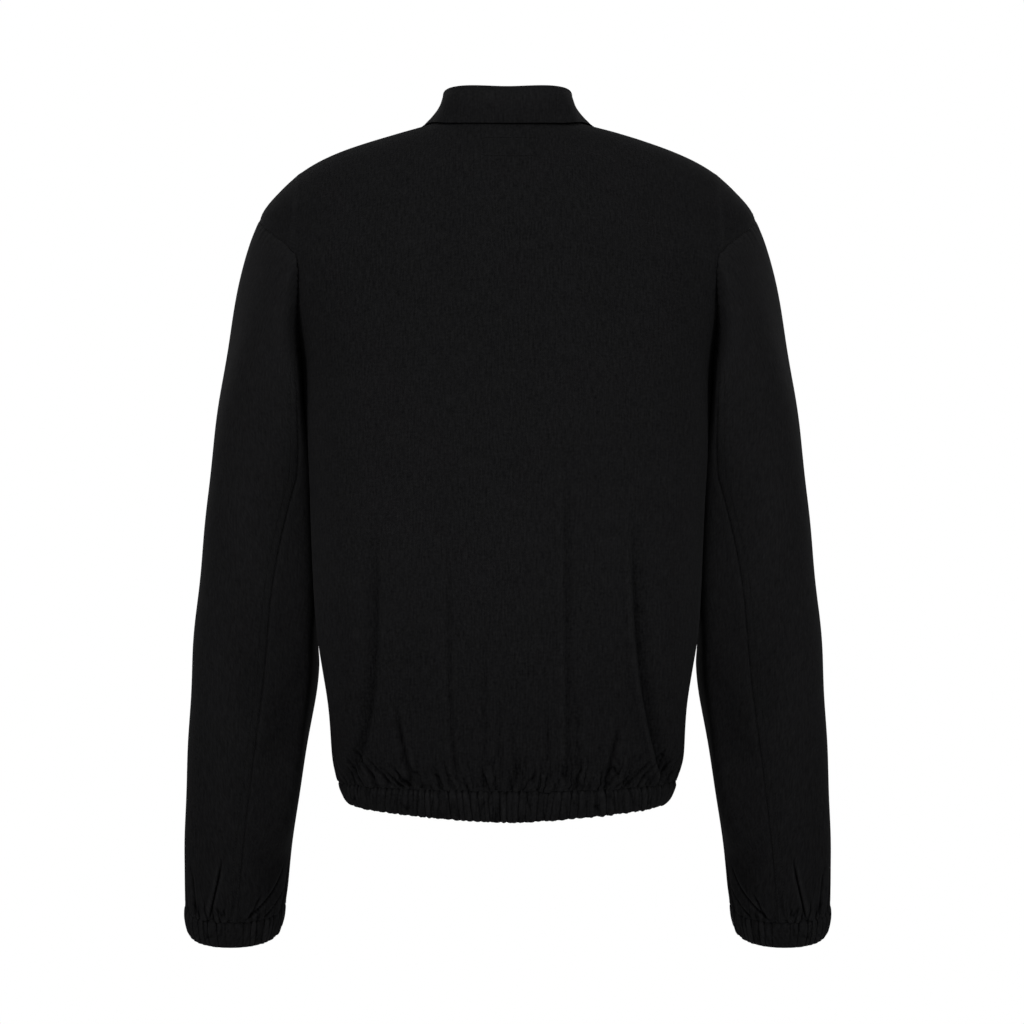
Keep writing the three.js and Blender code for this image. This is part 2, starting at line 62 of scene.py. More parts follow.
EYE_DISTANCE = 2.4                         # metres behind the wearer's neck
EYE_ASIDE, EYE_RAISED = -0.004, 0.0126     # from the middle of the frame's box
LENS, SENSOR = 93.75, 36
ROOM_LIGHT, ROOM_SLANT = 0.27, 0.20        # what the white room gives at eye level, and what it adds above
middle = (cad_low + cad_high) / 2

camera = bpy.data.objects.new("camera", bpy.data.cameras.new("camera"))
camera.data.lens, camera.data.sensor_width = LENS, SENSOR
camera.location = (middle.x + EYE_ASIDE, EYE_DISTANCE, middle.z + EYE_RAISED)
camera.rotation_euler = (np.pi / 2, 0, np.pi)
bpy.context.collection.objects.link(camera)
bpy.context.scene.camera = camera
bpy.context.scene.view_settings.view_transform = "Standard"


def soft_box(name, place, width, height, watts):
    """An area light, in metres and watts, turned to face the middle of the jacket's height."""
    light = bpy.data.objects.new(name, bpy.data.lights.new(name, "AREA"))
    light.data.shape, light.data.size, light.data.size_y = "RECTANGLE", width, height
    light.data.energy = watts
    light.location = place
    direction = Vector((0, 0, middle.z)) - Vector(place)
    light.rotation_euler = direction.to_track_quat("-Z", "Y").to_euler()
    light.visible_camera = False
    bpy.context.collection.objects.link(light)


def studio():
    """Soft boxes on both sides of the jacket, behind it and before it, two weak ones above and straight
    behind, and a white room."""
    for side in (-1, 1):
        soft_box(f"side_box_{side}", (side * 1.9, 1.9, 0.8), 0.7, 1.2, 26.5)
        soft_box(f"front_box_{side}", (side * 1.4, -1.9, 0.8), 1.2, 1.4, 14)
    soft_box("top_box", (0, 0.2, 1.6), 1.6, 1.0, 1)
    soft_box("back_fill", (0, 3.2, 0.6), 1.8, 1.8, 4)
    bpy.context.scene.world = white_room()


# ---------------------------------------------------------------- shader maths


class Value:
    """A number that varies over a surface. Arithmetic on it adds Math nodes to its tree."""

    def __init__(self, shader, socket):
        self.shader, self.socket = shader, socket

    def math(self, operation, *terms, clamp=False):
        """The value of a Math node of one or two terms, numbers or values."""
        settings = {"operation": operation, "use_clamp": clamp}
        return self.shader.node("ShaderNodeMath", settings, terms)[0]

    def __add__(self, other):
        return self.math("ADD", self, other)

    def __sub__(self, other):
        return self.math("SUBTRACT", self, other)

    def __rsub__(self, other):
        return self.math("SUBTRACT", other, self)

    def __mul__(self, other):
        return self.math("MULTIPLY", self, other)

    def __pow__(self, power):
        return self.math("POWER", self, power)

    __radd__, __rmul__ = __add__, __mul__

    def sin(self):
        return self.math("SINE", self)

    def size(self):
        """How far the value is from 0."""
        return self.math("ABSOLUTE", self)

    def clamp(self):
        """The value, kept between 0 and 1."""
        return self.math("ADD", self, 0, clamp=True)


class Shader:
    """The node tree of a material or of the world, with one method that adds any node."""

    def __init__(self, name, kind="materials", surface="Principled BSDF"):
        self.owner = getattr(bpy.data, kind).new(name)
        self.owner.use_nodes = True
        self.tree = self.owner.node_tree
        self.surface = self.tree.nodes[surface]

    def feed(self, socket, value):
        """Links a value to a socket, or puts a constant on it."""
        if isinstance(value, Value):
            self.tree.links.new(value.socket, socket)
        else:
            socket.default_value = value

    def node(self, kind, settings=None, inputs=()):
        """Adds a node: its settings first, then values or links by name or number; gives its outputs.
        Where a node has sockets of one name for several types, the one in use is fed."""
        node = self.tree.nodes.new(kind)
        for name, value in (settings or {}).items():
            setattr(node, name, value)
        if isinstance(inputs, dict):
            for name, value in inputs.items():
                sockets = (socket for socket in node.inputs if socket.name == name and socket.enabled)
                self.feed(next(sockets), value)
        else:
            for socket, value in zip(node.inputs, inputs):
                self.feed(socket, value)
        return [Value(self, output) for output in node.outputs if output.enabled]

    def named(self, kind, output, settings=None):
        """The output of a node by its name."""
        return next(value for value in self.node(kind, settings) if value.socket.name == output)

    def attribute(self, name):
        """A number that the mesh holds at each corner."""
        return self.named("ShaderNodeAttribute", "Fac", {"attribute_name": name})

    def noise(self, place, scale, detail=2.0, roughness=0.5):
        """Noise from 0 to 1, with so many cells in a unit of the place."""
        inputs = {"Vector": place, "Scale": scale, "Detail": detail, "Roughness": roughness}
        return self.node("ShaderNodeTexNoise", None, inputs)[0]

    def stretched(self, place, scales):
        """The place, with each of its three lengths multiplied by a scale of its own."""
        inputs = {"Vector": place, "Scale": scales}
        return self.node("ShaderNodeMapping", {"vector_type": "POINT"}, inputs)[0]

    def mix(self, share, first, second):
        """A colour between two colours."""
        inputs = {"Factor": share, "A": first, "B": second}
        return self.node("ShaderNodeMix", {"data_type": "RGBA"}, inputs)[0]

    def bump(self, height, strength, distance):
        """The normal that a height gives, with its full depth in metres."""
        inputs = {"Strength": strength, "Distance": distance, "Height": height}
        return self.node("ShaderNodeBump", None, inputs)[0]

    def finish(self, **inputs):
        """Feeds the surface's sockets, named with underscores for spaces; gives the material or world."""
        for name, value in inputs.items():
            socket = name.replace("_", " ").title().replace("Ior", "IOR")
            self.feed(self.surface.inputs[socket], value)
        return self.owner


def white_room():
    """White surroundings, which give more light from above than from below."""
    shader = Shader("white_room", "worlds", "Background")
    seen = shader.named("ShaderNodeLightPath", "Is Camera Ray")
    around = shader.named("ShaderNodeTexCoord", "Generated")
    _, _, up = shader.node("ShaderNodeSeparateXYZ", None, [around])
    given = ROOM_LIGHT + up * ROOM_SLANT
    return shader.finish(color=(1, 1, 1, 1), strength=given + seen * (1 - given))


# The twill, in metres: its ribs' pitch, slope and waver, and how many cells its slubs, patches and
# yarns have in a metre. Gather creases: how many in a metre, how they lean, wander and come and go.
RIB_PITCH, RIB_SLOPE, RIB_WAVER = 0.00105, 1.25, 0.0016
SLUBS, PATCHES, YARNS = 420, 30, (700, 90, 1)
CREASES, CREASE_LEAN, CREASE_WANDER, CREASE_CELLS, CREASE_SPARSE = 95, 3, 5, (46, 11, 1), 0.38


def shell_twill():
    """Near-black cotton twill on the UV map's metres across and along. Its tone is a sum of broad
    patches, slubs, stretched yarns, ribs (a sine of a slanted length) and the light and shade painted
    into the cloth, the attribute "painted_shading". Thin creases run up from a gathered seam where the
    attribute "gathered" says: 1 minus the size of a sine of the length across, cubed, which wanders
    and fades unevenly; each is sunk in the bump and painted dark, as painted shade."""
    shader = Shader("shell_twill")
    cloth = shader.node("ShaderNodeUVMap", {"uv_map": "cloth"})[0]
    u, v, _ = shader.node("ShaderNodeSeparateXYZ", None, [cloth])
    slub, patch = shader.noise(cloth, SLUBS, 3), shader.noise(cloth, PATCHES, 3, 0.6)
    yarn = shader.noise(shader.stretched(cloth, YARNS), 1, 3)
    rib = ((u + v * RIB_SLOPE + slub * RIB_WAVER) * (2 * np.pi / RIB_PITCH)).sin() * 0.5 + 0.5

    tall = shader.stretched(cloth, CREASE_CELLS)
    wander = shader.noise(tall, 1, 1)
    strength = (shader.noise(tall, 1.9, 1) - CREASE_SPARSE) * 6
    leaning = u * (1 - v * CREASE_LEAN) * CREASES + wander * CREASE_WANDER
    # Each crease darkens the colour as painted shade, and sinks the bump.
    crease = (1 - (leaning * np.pi).sin().size()) ** 3 * strength.clamp() * shader.attribute("gathered")

    # The cloth's own patches, slubs, yarns and ribs, plus painted light and shade, and painted shade in the
    # creases.
    tone = (0.455 + (patch - 0.5) * 0.12 + (slub - 0.5) * 0.62 + (yarn - 0.5) * 0.62
            + shader.attribute("painted_shading") * 0.62 + (rib - 0.5) * 0.05 - crease * 0.42)
    colour = shader.mix(tone.clamp(), (0.0016, 0.0016, 0.0018, 1), (0.0184, 0.0184, 0.0192, 1))
    height = rib * 0.4 + yarn * 0.7 + slub * 0.6 - crease * 4.0
    return shader.finish(
        base_color=colour, roughness=0.86 + (slub - 0.5) * 0.12,
        normal=shader.bump(height, 0.5, 0.00022), specular_ior_level=0.01,
        sheen_weight=0.006, sheen_roughness=0.4, sheen_tint=(0.8, 0.82, 0.86, 1),
    )


def thread():
    """Matt black sewing thread, twisted."""
    shader = Shader("thread")
    spot = shader.named("ShaderNodeTexCoord", "Object")
    grain = shader.noise(spot, 2600, 2)
    colour = shader.mix(grain, (0.005, 0.005, 0.0053, 1), (0.013, 0.013, 0.0135, 1))
    return shader.finish(base_color=colour, roughness=0.7, normal=shader.bump(grain, 0.4, 0.0001),
                         specular_ior_level=0.04)


def snap_enamel():
    """Black enamel on a pressed metal cap, worn a little in uneven patches."""
    shader = Shader("snap_enamel")
    spot = shader.named("ShaderNodeTexCoord", "Object")
    fine = shader.noise(spot, 1500, 3)
    broad = shader.noise(spot, 260, 2)
    colour = shader.mix((broad - 0.35).clamp(), (0.006, 0.006, 0.0065, 1), (0.015, 0.015, 0.016, 1))
    return shader.finish(base_color=colour, roughness=0.42 + broad * 0.2, metallic=0.0,
                         normal=shader.bump(fine, 0.12, 0.0001), specular_ior_level=0.09)


def floor_paint():
    """Pale floor that fades into the white around it with the distance from its middle."""
    shader = Shader("floor_paint")
    spot = shader.named("ShaderNodeTexCoord", "Object")
    grain = shader.noise(spot, 3, 2)
    colour = shader.mix(grain, (0.84, 0.84, 0.84, 1), (0.88, 0.88, 0.88, 1))
    x, y, _ = shader.node("ShaderNodeSeparateXYZ", None, [spot])
    distance = (x * x + y * y) ** 0.5
    return shader.finish(base_color=colour, roughness=0.95, specular_ior_level=0.1,
                         alpha=(2.0 - distance * 0.9).clamp())


# ---------------------------------------------------------------- tables and curves


def table(columns, *rows):
    """Named columns, and a row of numbers for each section, line or fold."""
    return dict(zip(columns.split(), np.array(rows, float).T))


def ramp(start, stop, at):
    """0 below one end, 1 above the other, and a smooth rise between them."""
    part = np.clip((at - start) / (stop - start), 0, 1)
    return part * part * (3 - 2 * part)


def bell(away, width):
    """1 on a line, and falling off on both sides of it within about that width."""
    return np.exp(-(away / width) ** 2)


def read(rows, column, at):
    """One column of a table on a monotone cubic along its first column: slopes are harmonic means."""
    places, values = next(iter(rows.values())), rows[column]
    if places[1] < places[0]:
        places, values = places[::-1], values[::-1]
    step = np.diff(places)
    rise = np.diff(values) / step
    product, total = rise[:-1] * rise[1:], rise[:-1] + rise[1:]
    inner = np.where(product > 0, 2 * product / np.where(total == 0, 1, total), 0)
    slope = np.concatenate([rise[:1], inner, rise[-1:]])
    at = np.clip(at, places[0], places[-1])
    i = np.clip(np.searchsorted(places, at, side="right") - 1, 0, len(step) - 1)
    t = (at - places[i]) / step[i]
    return ((1 + 2 * t) * (1 - t) ** 2 * values[i] + t * (1 - t) ** 2 * step[i] * slope[i]
            + t * t * (3 - 2 * t) * values[i + 1] + t * t * (t - 1) * step[i] * slope[i + 1])


def soft_read(rows, column, at, blur):
    """The same, averaged over a short stretch that closes up towards the table's two ends."""
    places = next(iter(rows.values()))
    at = np.clip(at, places.min(), places.max())
    near = np.minimum(blur, np.minimum(at - places.min(), places.max() - at))
    return (read(rows, column, at - near) + 2 * read(rows, column, at) + read(rows, column, at + near)) / 4


def unit(vectors):
    """The same directions, each of length 1."""
    return vectors / np.linalg.norm(vectors, axis=-1, keepdims=True)


def walk_along(line):
    """Lengths walked along a line of points, from 0."""
    return np.concatenate([[0], np.cumsum(np.linalg.norm(np.diff(line, axis=0), axis=-1))])


def even_steps(curve, start, stop, shares):
    """For each row, the parameters that part its curve by length in the given shares."""
    start, stop = np.atleast_1d(start).astype(float), np.atleast_1d(stop).astype(float)
    fine = np.linspace(0, 1, 3 * len(shares) + 1)
    places = start[:, None] + (stop - start)[:, None] * fine
    steps = np.linalg.norm(np.diff(curve(places), axis=1), axis=-1)
    lengths = np.concatenate([np.zeros((len(steps), 1)), np.cumsum(steps, axis=1)], axis=1)
    wanted = lengths[:, -1:] * shares
    return np.stack([np.interp(*row) for row in zip(wanted, lengths, places)])


def edged_shares(cells, length, edges):
    """Shares from 0 to 1, even in the middle, with extra lines close to both edges, in millimetres."""
    near = np.array([0, *edges]) / length
    even = np.linspace(near[-1], 1 - near[-1], cells - 2 * len(edges) + 1)
    return np.concatenate([near[:-1], even, 1 - near[:-1][::-1]])


def graded_shares(length, places, spacings):
    """Shares from 0 to 1 whose spacing along a length follows the spacings given at some places."""
    fine = np.linspace(0, length, 4000)
    number = np.concatenate([[0], np.cumsum(np.diff(fine) / np.interp(fine[1:], places, spacings))])
    return np.interp(np.linspace(0, number[-1], round(number[-1]) + 1), number, fine) / length


FACE_CORNERS = (0, 0), (0, 1), (1, 1), (1, 0)   # one face of a grid: steps of rows and of columns


# ---------------------------------------------------------------- the cut of the jacket

CLOTH, DOUBLE = 1.2, 2.0       # thickness of one layer, and of a casing, stand or collar
SEAM_EDGES = (0.5, 1.4, 2.8)   # extra lines of points beside the edges of narrow pieces
WIDE_EDGES = (*SEAM_EDGES, 4.6, 7.0)

# Levels are heights before the neck drops in front and the hem dips behind.
NECK_LEVEL, SHOULDER_LEVEL, UNDERARM_LEVEL = 2, -80, -255
CASING_LEVEL, CASING_END = -582.5, -603.5
BACK_NECK_DROP, FRONT_NECK_DROP, FRONT_NECK_SHAPE, NECK_DROP_FADES = 3, 79, 3.4, -260
SEAM_DIP, HEM_DIP, DIP_STARTS = 2, 7.5, -400
BODY_BLUR, SLEEVE_BLUR = 10, 24

LAP, LAP_STEP = 17, 1.3        # how far each front passes the centre, and how far it stands off there
LAP_EASE_NONE, LAP_EASE_FULL = 75, 30
CASING_LAP_STEP, CASING_LAP_RADIUS, CASING_LAP_TURNS = 1.6, 100, (140, 160)
SEAM_LAP = 0.35                # degrees by which two panels' edges cross in the dip of their seam
CALM = 22                      # how far from a side seam the cloth stays smooth

SLEEVE_START, SLEEVE_END, CUFF_END = -314, -709.5, -733
SLEEVE_SQUARE, SLEEVE_PRESSED, SLEEVE_CLEAR, CAP_SUNK = 2.2, 12, 1.0, 8
CAP_PULL, CAP_SPREAD, CAP_FULL = 0.55, 0.35, 25
CAP_LEAVES_SHOULDER, CAP_LEAVES_UNDERARM = np.array([0.5, 0, -0.87]), np.array([0.95, 0, -0.3])
SLEEVE_AROUND, CUFF_AROUND = 46, 43         # mean radii, which turn angles into lengths

ROLL_RADIUS, ROLL_SHARE, STAND_HOLLOW, SEAM = 2.6, 0.25, 2, 0.4
SNAP_RADIUS, SNAP_COUNT, FIRST_SNAP, SNAP_STEP = 7.5, 6, -101, -91.5

# Half a snap cap's section in radii: distance from its middle line, and height over the cloth.
SNAP_PROFILE = np.array([
    [0, 0], [0.9, 0], [0.985, 0.04], [1, 0.1], [0.985, 0.17], [0.93, 0.215], [0.87, 0.2], [0.82, 0.19],
    [0.74, 0.215], [0.6, 0.265], [0.45, 0.3], [0.3, 0.318], [0.12, 0.325], [0, 0.326],
])
NECK_BOX = 21, -24, -17, -34   # left, right, top and bottom of the stitched rectangle under the neck
SEAM_STITCH, LAP_STITCH, FACING_STITCH, FALL_STITCH = 2.4, 2.5, 32, 6
SLEEVE_STITCHES = 1.8, 7.5     # the two lines beside the sleeve's back seam

# Painted shade: how much darker closely gathered cloth is painted, and the yoke; painted light on
# the sleeves, with painted shade down them; and a painted highlight on the fold down the side of
# the back, painted light round it, and the most painted light that any place keeps.
BAND_SHADE, CUFF_SHADE, HEM_SHADE, YOKE_SHADE = 0.16, 0.2, 0.15, 0.06
SLEEVE_LIGHT, SLEEVE_SHADE = 0.09, 0.24
FOLD_PAINTED_HIGHLIGHT, SIDE_PAINTED_LIGHT, MOST_PAINTED_LIGHT = 0.2, 0.15, 0.22

# Sections of the body: half width, the Y of the back, of the widest line and of the front, and how
# square the back and the front halves are (2 is an ellipse).
BODY = table(
    "level wide back mid front backSquare frontSquare",
    [2, 74, 65, 0, -66, 2, 2],
    [-2, 88, 69, 0, -67.3, 2, 2],
    [-12.5, 126.5, 76, 0, -70.5, 2, 2],
    [-22.5, 154.5, 82, -1, -73.5, 2, 2],
    [-33, 177, 88, -2, -76.5, 2, 2],
    [-44, 193, 93, -3, -79.5, 2, 2],
    [-55, 204, 97, -4, -82, 2, 2],
    [-80, 223.5, 106, -4, -88, 2, 2],
    [-110, 222, 116, 4, -96.5, 2.2, 2],
    [-150, 200, 123, 16, -106, 2.4, 2],
    [-208, 181.6, 128, 26, -114, 2.6, 2],
    [-260, 178, 129, 30, -118, 2.7, 2],
    [-314, 174.6, 128, 32, -118, 2.7, 2],
    [-421, 170, 124, 32, -118, 2.7, 2],
    [-463, 166, 122, 30, -117, 2.7, 2],
    [-517, 158, 118, 26, -113, 2.6, 2],
    [-560, 155, 115, 22, -109, 2.5, 2],
    [-582.5, 150.3, 111.5, 18, -106, 2.4, 2],
    [-592, 148, 109.5, 18, -104, 2.3, 2],
    [-603.5, 138.5, 101, 18, -96, 2.2, 2],
)

# The armhole line, and the side seam under it: turns of the back's edge and of the front's edge.
SIDE = table(
    "level backEdge frontEdge",
    [-80, 90, 90],
    [-85, 85.5, 94],
    [-95, 79.2, 98.2],
    [-110, 72.4, 102],
    [-120, 70, 104],
    [-150, 73.5, 109],
    [-190, 82, 113],
    [-225, 92, 113.5],
    [-245, 98, 110],
    [-252, 101, 107],
    [-255, 104, 104],
)

# Rings of the left sleeve: centre, half width across, half depth, and how far the ring leans.
SLEEVE = table(
    "level centreX centreY wide deep lean",
    [-314, 222, -25, 48, 74, 0],
    [-368, 225.3, -30, 51.8, 68, 2],
    [-423, 228.3, -35, 54.8, 65, 4],
    [-478.5, 230.8, -45, 58, 62, 7],
    [-534, 237.3, -55, 55.3, 60, 10],
    [-591, 244, -67, 52.9, 57, 12],
    [-648, 250, -79, 49.6, 54, 12],
    [-690, 253.2, -88, 47.4, 49, 12],
    [-712, 255.3, -92, 46.4, 44, 12],
    [-732, 256, -96, 43, 36, 20],
)

# Sleeve seams, as angles round the ring: 0 outside, 90 back, 180 inside, 270 front.
SLEEVE_SEAMS = table(
    "level back front",
    [-255, 125, 240],
    [-314, 116, 244],
    [-423, 105, 250],
    [-591, 100, 258],
    [-712, 98, 262],
)

# The collar from the centre back (0) to its front end (1): turns and heights of the neck seam, the
# fold and the outer edge, how far the edge stands off, and how far the fall swells between.
COLLAR = table(
    "along neckTurn foldTurn foldZ edgeTurn edgeZ lift bulge",
    [-0.25, -43, -43, 32, -38, -3, 1.8, 3],
    [0, 0, 0, 29.6, 0, -4, 1.8, 5],
    [0.25, 43, 43, 32, 38, -3, 1.8, 3],
    [0.5, 86, 88, 33, 80, 3, 1.8, -3],
    [0.6, 103, 105, 26, 97, 0, 2.0, -4],
    [0.7, 120, 122, 14, 114, -11, 2.6, 0],
    [0.85, 146, 148, -20, 132, -55, 4, 2],
    [1, 172, 172, -50, 147, -115, 4, 2],
)
FOLD_WIDE, FOLD_BACK, FOLD_FRONT, FOLD_SQUARE = 54.5, 61, 79, 2.8   # plan of the collar's fold line


# ---------------------------------------------------------------- creases

# Creases of the back: where each starts and ends across and up, its width and depth (a ridge where
# the depth is negative), how late it swings over to its foot, and how much wider its left side is.
BACK_FOLDS = table(
    "topX topZ footX footZ width depth swing lean",
    [113, -330, 135, -570, 6, 2.9, 5, 1.5],
    [106, -380, 128, -566, 3, -0.4, 5, 1],
    [98, -345, 112, -556, 9, -1.0, 4, 1],
    [131, -400, 146, -565, 8, -1.4, 3, 1],
    [96, -500, 82, -578, 3.2, 2.2, 1.5, 1],
    [91, -505, 77, -576, 2.4, -0.9, 1.5, 1],
    [50, -350, 42, -580, 4, 1.5, 5, 0.6],
    [46, -360, 37, -575, 3, -0.7, 5, 1],
    [62, -380, 58, -570, 8, -0.8, 4, 1],
    [19, -430, 20, -578, 3, 0.9, 2, 1],
    [7, -490, 5, -581, 2.6, 1.0, 2, 1],
    [-5, -510, -6, -578, 2.6, 0.9, 2, 1],
    [-34, -495, -37, -580, 3, 1.1, 2, 1],
    [-50, -245, -53, -581, 4.5, 1.6, 2, 0.7],
    [-45, -260, -48, -570, 3, -0.7, 2, 1],
    [-61, -485, -60, -580, 3, 1.1, 2, 1],
    [-97, -515, -84, -578, 3.2, 2.4, 1.5, 1],
    [-92, -510, -78, -576, 2.4, -0.9, 1.5, 1],
    [-108, -320, -136, -574, 5, 3.2, 3, 0.5],
    [-103, -330, -131, -570, 2.4, -1.3, 3, 1],
    [-94, -290, -104, -560, 8, -1.1, 3, 1],
    [-84, -270, -90, -520, 10, -0.9, 2, 1],
    [-132, -380, -152, -565, 9, -1.5, 3, 1],
    [139, -543, 116, -573, 2.1, 1.7, 1, 1],
    [128, -549, 101, -578, 2.2, 1.9, 1, 1],
    [118, -556, 90, -581, 2.0, 1.5, 1, 1],
    [143, -552, 130, -577, 2.0, 1.5, 1, 1],
    [106, -555, 84, -580, 1.8, 1.1, 1, 1],
    [-141, -547, -118, -574, 2.1, 1.7, 1, 1],
    [-130, -553, -104, -579, 2.2, 1.8, 1, 1],
    [-121, -560, -93, -581, 2.0, 1.4, 1, 1],
    [-147, -553, -134, -577, 2.0, 1.5, 1, 1],
    [-104, -557, -86, -580, 1.8, 1.0, 1, 1],
)

# The soft fold down each side of the back, where the panel turns away towards the sleeve.
TURN_FOLD = table(
    "height away",
    [-36, 186], [-143, 188], [-235, 179.5], [-285, 176],
    [-340, 172.5], [-390, 169.5], [-440, 167], [-480, 164],
)

# Creases of the fronts, in the same way. The left front's are given; the right front has others.
FRONT_LEFT_FOLDS = table(
    "topX topZ footX footZ width depth swing lean",
    [112, -350, 126, -566, 9, 4.0, 3, 1.4],
    [100, -330, 110, -556, 8, -2.0, 3, 1],
    [78, -430, 72, -574, 7, 2.2, 2, 1],
    [54, -380, 48, -578, 8, 1.8, 3, 0.8],
    [34, -480, 32, -576, 5, 1.2, 2, 1],
    [136, -300, 146, -540, 9, 1.6, 2, 1],
    [60, -170, 74, -300, 14, 1.4, 2, 1],
)
FRONT_RIGHT_FOLDS = table(
    "topX topZ footX footZ width depth swing lean",
    [106, -370, 122, -566, 9, 3.6, 3, 1.4],
    [92, -340, 102, -556, 9, -1.8, 3, 1],
    [70, -410, 62, -574, 7, 2.4, 2, 1],
    [44, -450, 40, -578, 7, 1.6, 3, 0.8],
    [140, -320, 150, -545, 9, 1.8, 2, 1],
    [66, -180, 84, -320, 15, 1.2, 2, 1],
)

# Creases of the left sleeve, by angle round the ring and by height.
SLEEVE_FOLDS = table(
    "topX topZ footX footZ width depth swing lean",
    [79, -655, 66, -713, 1.5, 2.4, 1.5, 1.2],
    [75, -656, 62, -711, 1.8, -0.4, 1.5, 1],
    [150, -664, 112, -714, 1.6, 2.2, 1.6, 1],
    [144, -668, 106, -712, 1.8, -0.5, 1.6, 1],
    [164, -684, 132, -714, 1.6, 1.6, 1, 1],
    [124, -688, 112, -715, 1.4, 1.5, 1, 1],
    [95, -682, 92, -713, 2.0, 0.9, 1, 1],
    [40, -660, 46, -713, 3, 1.6, 1, 1],
    [18, -640, 26, -713, 3, 1.8, 2, 1],
    [-20, -650, -12, -713, 3, 2.0, 2, 1],
    [-60, -640, -50, -713, 3.5, 2.2, 2, 1],
    [-85, -670, -82, -713, 3, 1.6, 1, 1],
    [-120, -655, -110, -713, 3, 2.0, 2, 1],
    [170, -655, 160, -713, 3, 2.2, 1, 1],
    [195, -670, 205, -713, 3, 1.8, 1, 1],
    [60, -330, 90, -520, 16, 1.0, 1, 1],
    [150, -400, 110, -560, 12, 1.4, 1, 1.6],
    [-40, -300, -70, -470, 13, 1.5, 1, 1.5],
    [-95, -360, -130, -470, 7, 2.2, 1, 1.6],
    [-100, -420, -150, -500, 7, 2.4, 1, 1.6],
    [-90, -480, -140, -560, 8, 1.8, 1, 1.5],
    [170, -330, 190, -470, 10, 1.5, 1, 1],
)


def turn_fold(sheet):
    """A low sharp ridge down the side of the back, with a narrow trough outside it, and the light
    painted into the cloth there: a painted highlight along the ridge's own thin line, and a little
    painted light on both sides of it lower down, against the shade between back and sleeve."""
    height = sheet.points[..., 2]
    away = np.abs(sheet.points[..., 0]) - read(TURN_FOLD, "away", height)
    fade = ramp(-34, -50, height) * ramp(-480, -440, height)
    ridge = fade * (0.7 * bell(away, 1.9) - 1.1 * bell(away - 4.6, 2.6) * ramp(-120, -190, height))
    beside = bell(away, 20) * ramp(-100, -150, height) * ramp(-560, -500, height)
    return ridge, FOLD_PAINTED_HIGHLIGHT * fade * bell(away, 1.7) + SIDE_PAINTED_LIGHT * beside


def creases(folds, across, height, scale=1.0):
    """Depth of all the folds at each place: a bell across each fold's own line, which swings over to
    its foot as a power of the way down, fading in over its first third and out past its foot."""
    part = (height[..., None] - folds["topZ"]) / (folds["footZ"] - folds["topZ"])
    way = np.clip(part, 0, None) ** folds["swing"]
    line = folds["topX"] + (folds["footX"] - folds["topX"]) * way
    away = (across[..., None] - line) * scale
    width = folds["width"] * np.where(away > 0, folds["lean"], 1 / folds["lean"])
    fade = ramp(0, 0.45, part) * ramp(1.1, 0.93, part)
    return (folds["depth"] * bell(away, width) * fade).sum(axis=-1)


def gathers(place, seed, narrow, wide, sharp=0.62):
    """Rounded ridges of uneven width and height with a crease between neighbours, sharper for a
    smaller power: the ridge's height from 0 to 1, and a number from 0 to 1 of each ridge's own."""
    rng = np.random.default_rng(seed)
    count = 400
    lines = np.cumsum(rng.uniform(narrow, wide, count))
    lines -= lines[count // 2]
    heights, own = rng.uniform(0.35, 1, count + 1), rng.uniform(0, 1, count + 1)
    i = np.clip(np.searchsorted(lines, place), 1, count - 1)
    part = np.clip((place - lines[i - 1]) / (lines[i] - lines[i - 1]), 0, 1)
    return heights[i] * np.sin(np.pi * part) ** sharp, own[i]


def unevenness(points, seed, size, amount):
    """Low swells: three times the mean of nine plane waves in directions and phases of their own."""
    rng = np.random.default_rng(seed)
    count = 9
    waves = unit(rng.normal(size=(count, 3))) * (2 * np.pi / (size * rng.uniform(0.6, 1.6, (count, 1))))
    return amount * np.sin(points @ waves.T + rng.uniform(0, 2 * np.pi, count)).mean(axis=-1) * 3


def pinch(away, depth=1.1, width=1.7):
    """How far a sheet's edge rolls in towards its seam, by the distance from the edge."""
    return -depth * bell(away, width)


# ---------------------------------------------------------------- sheets of cloth


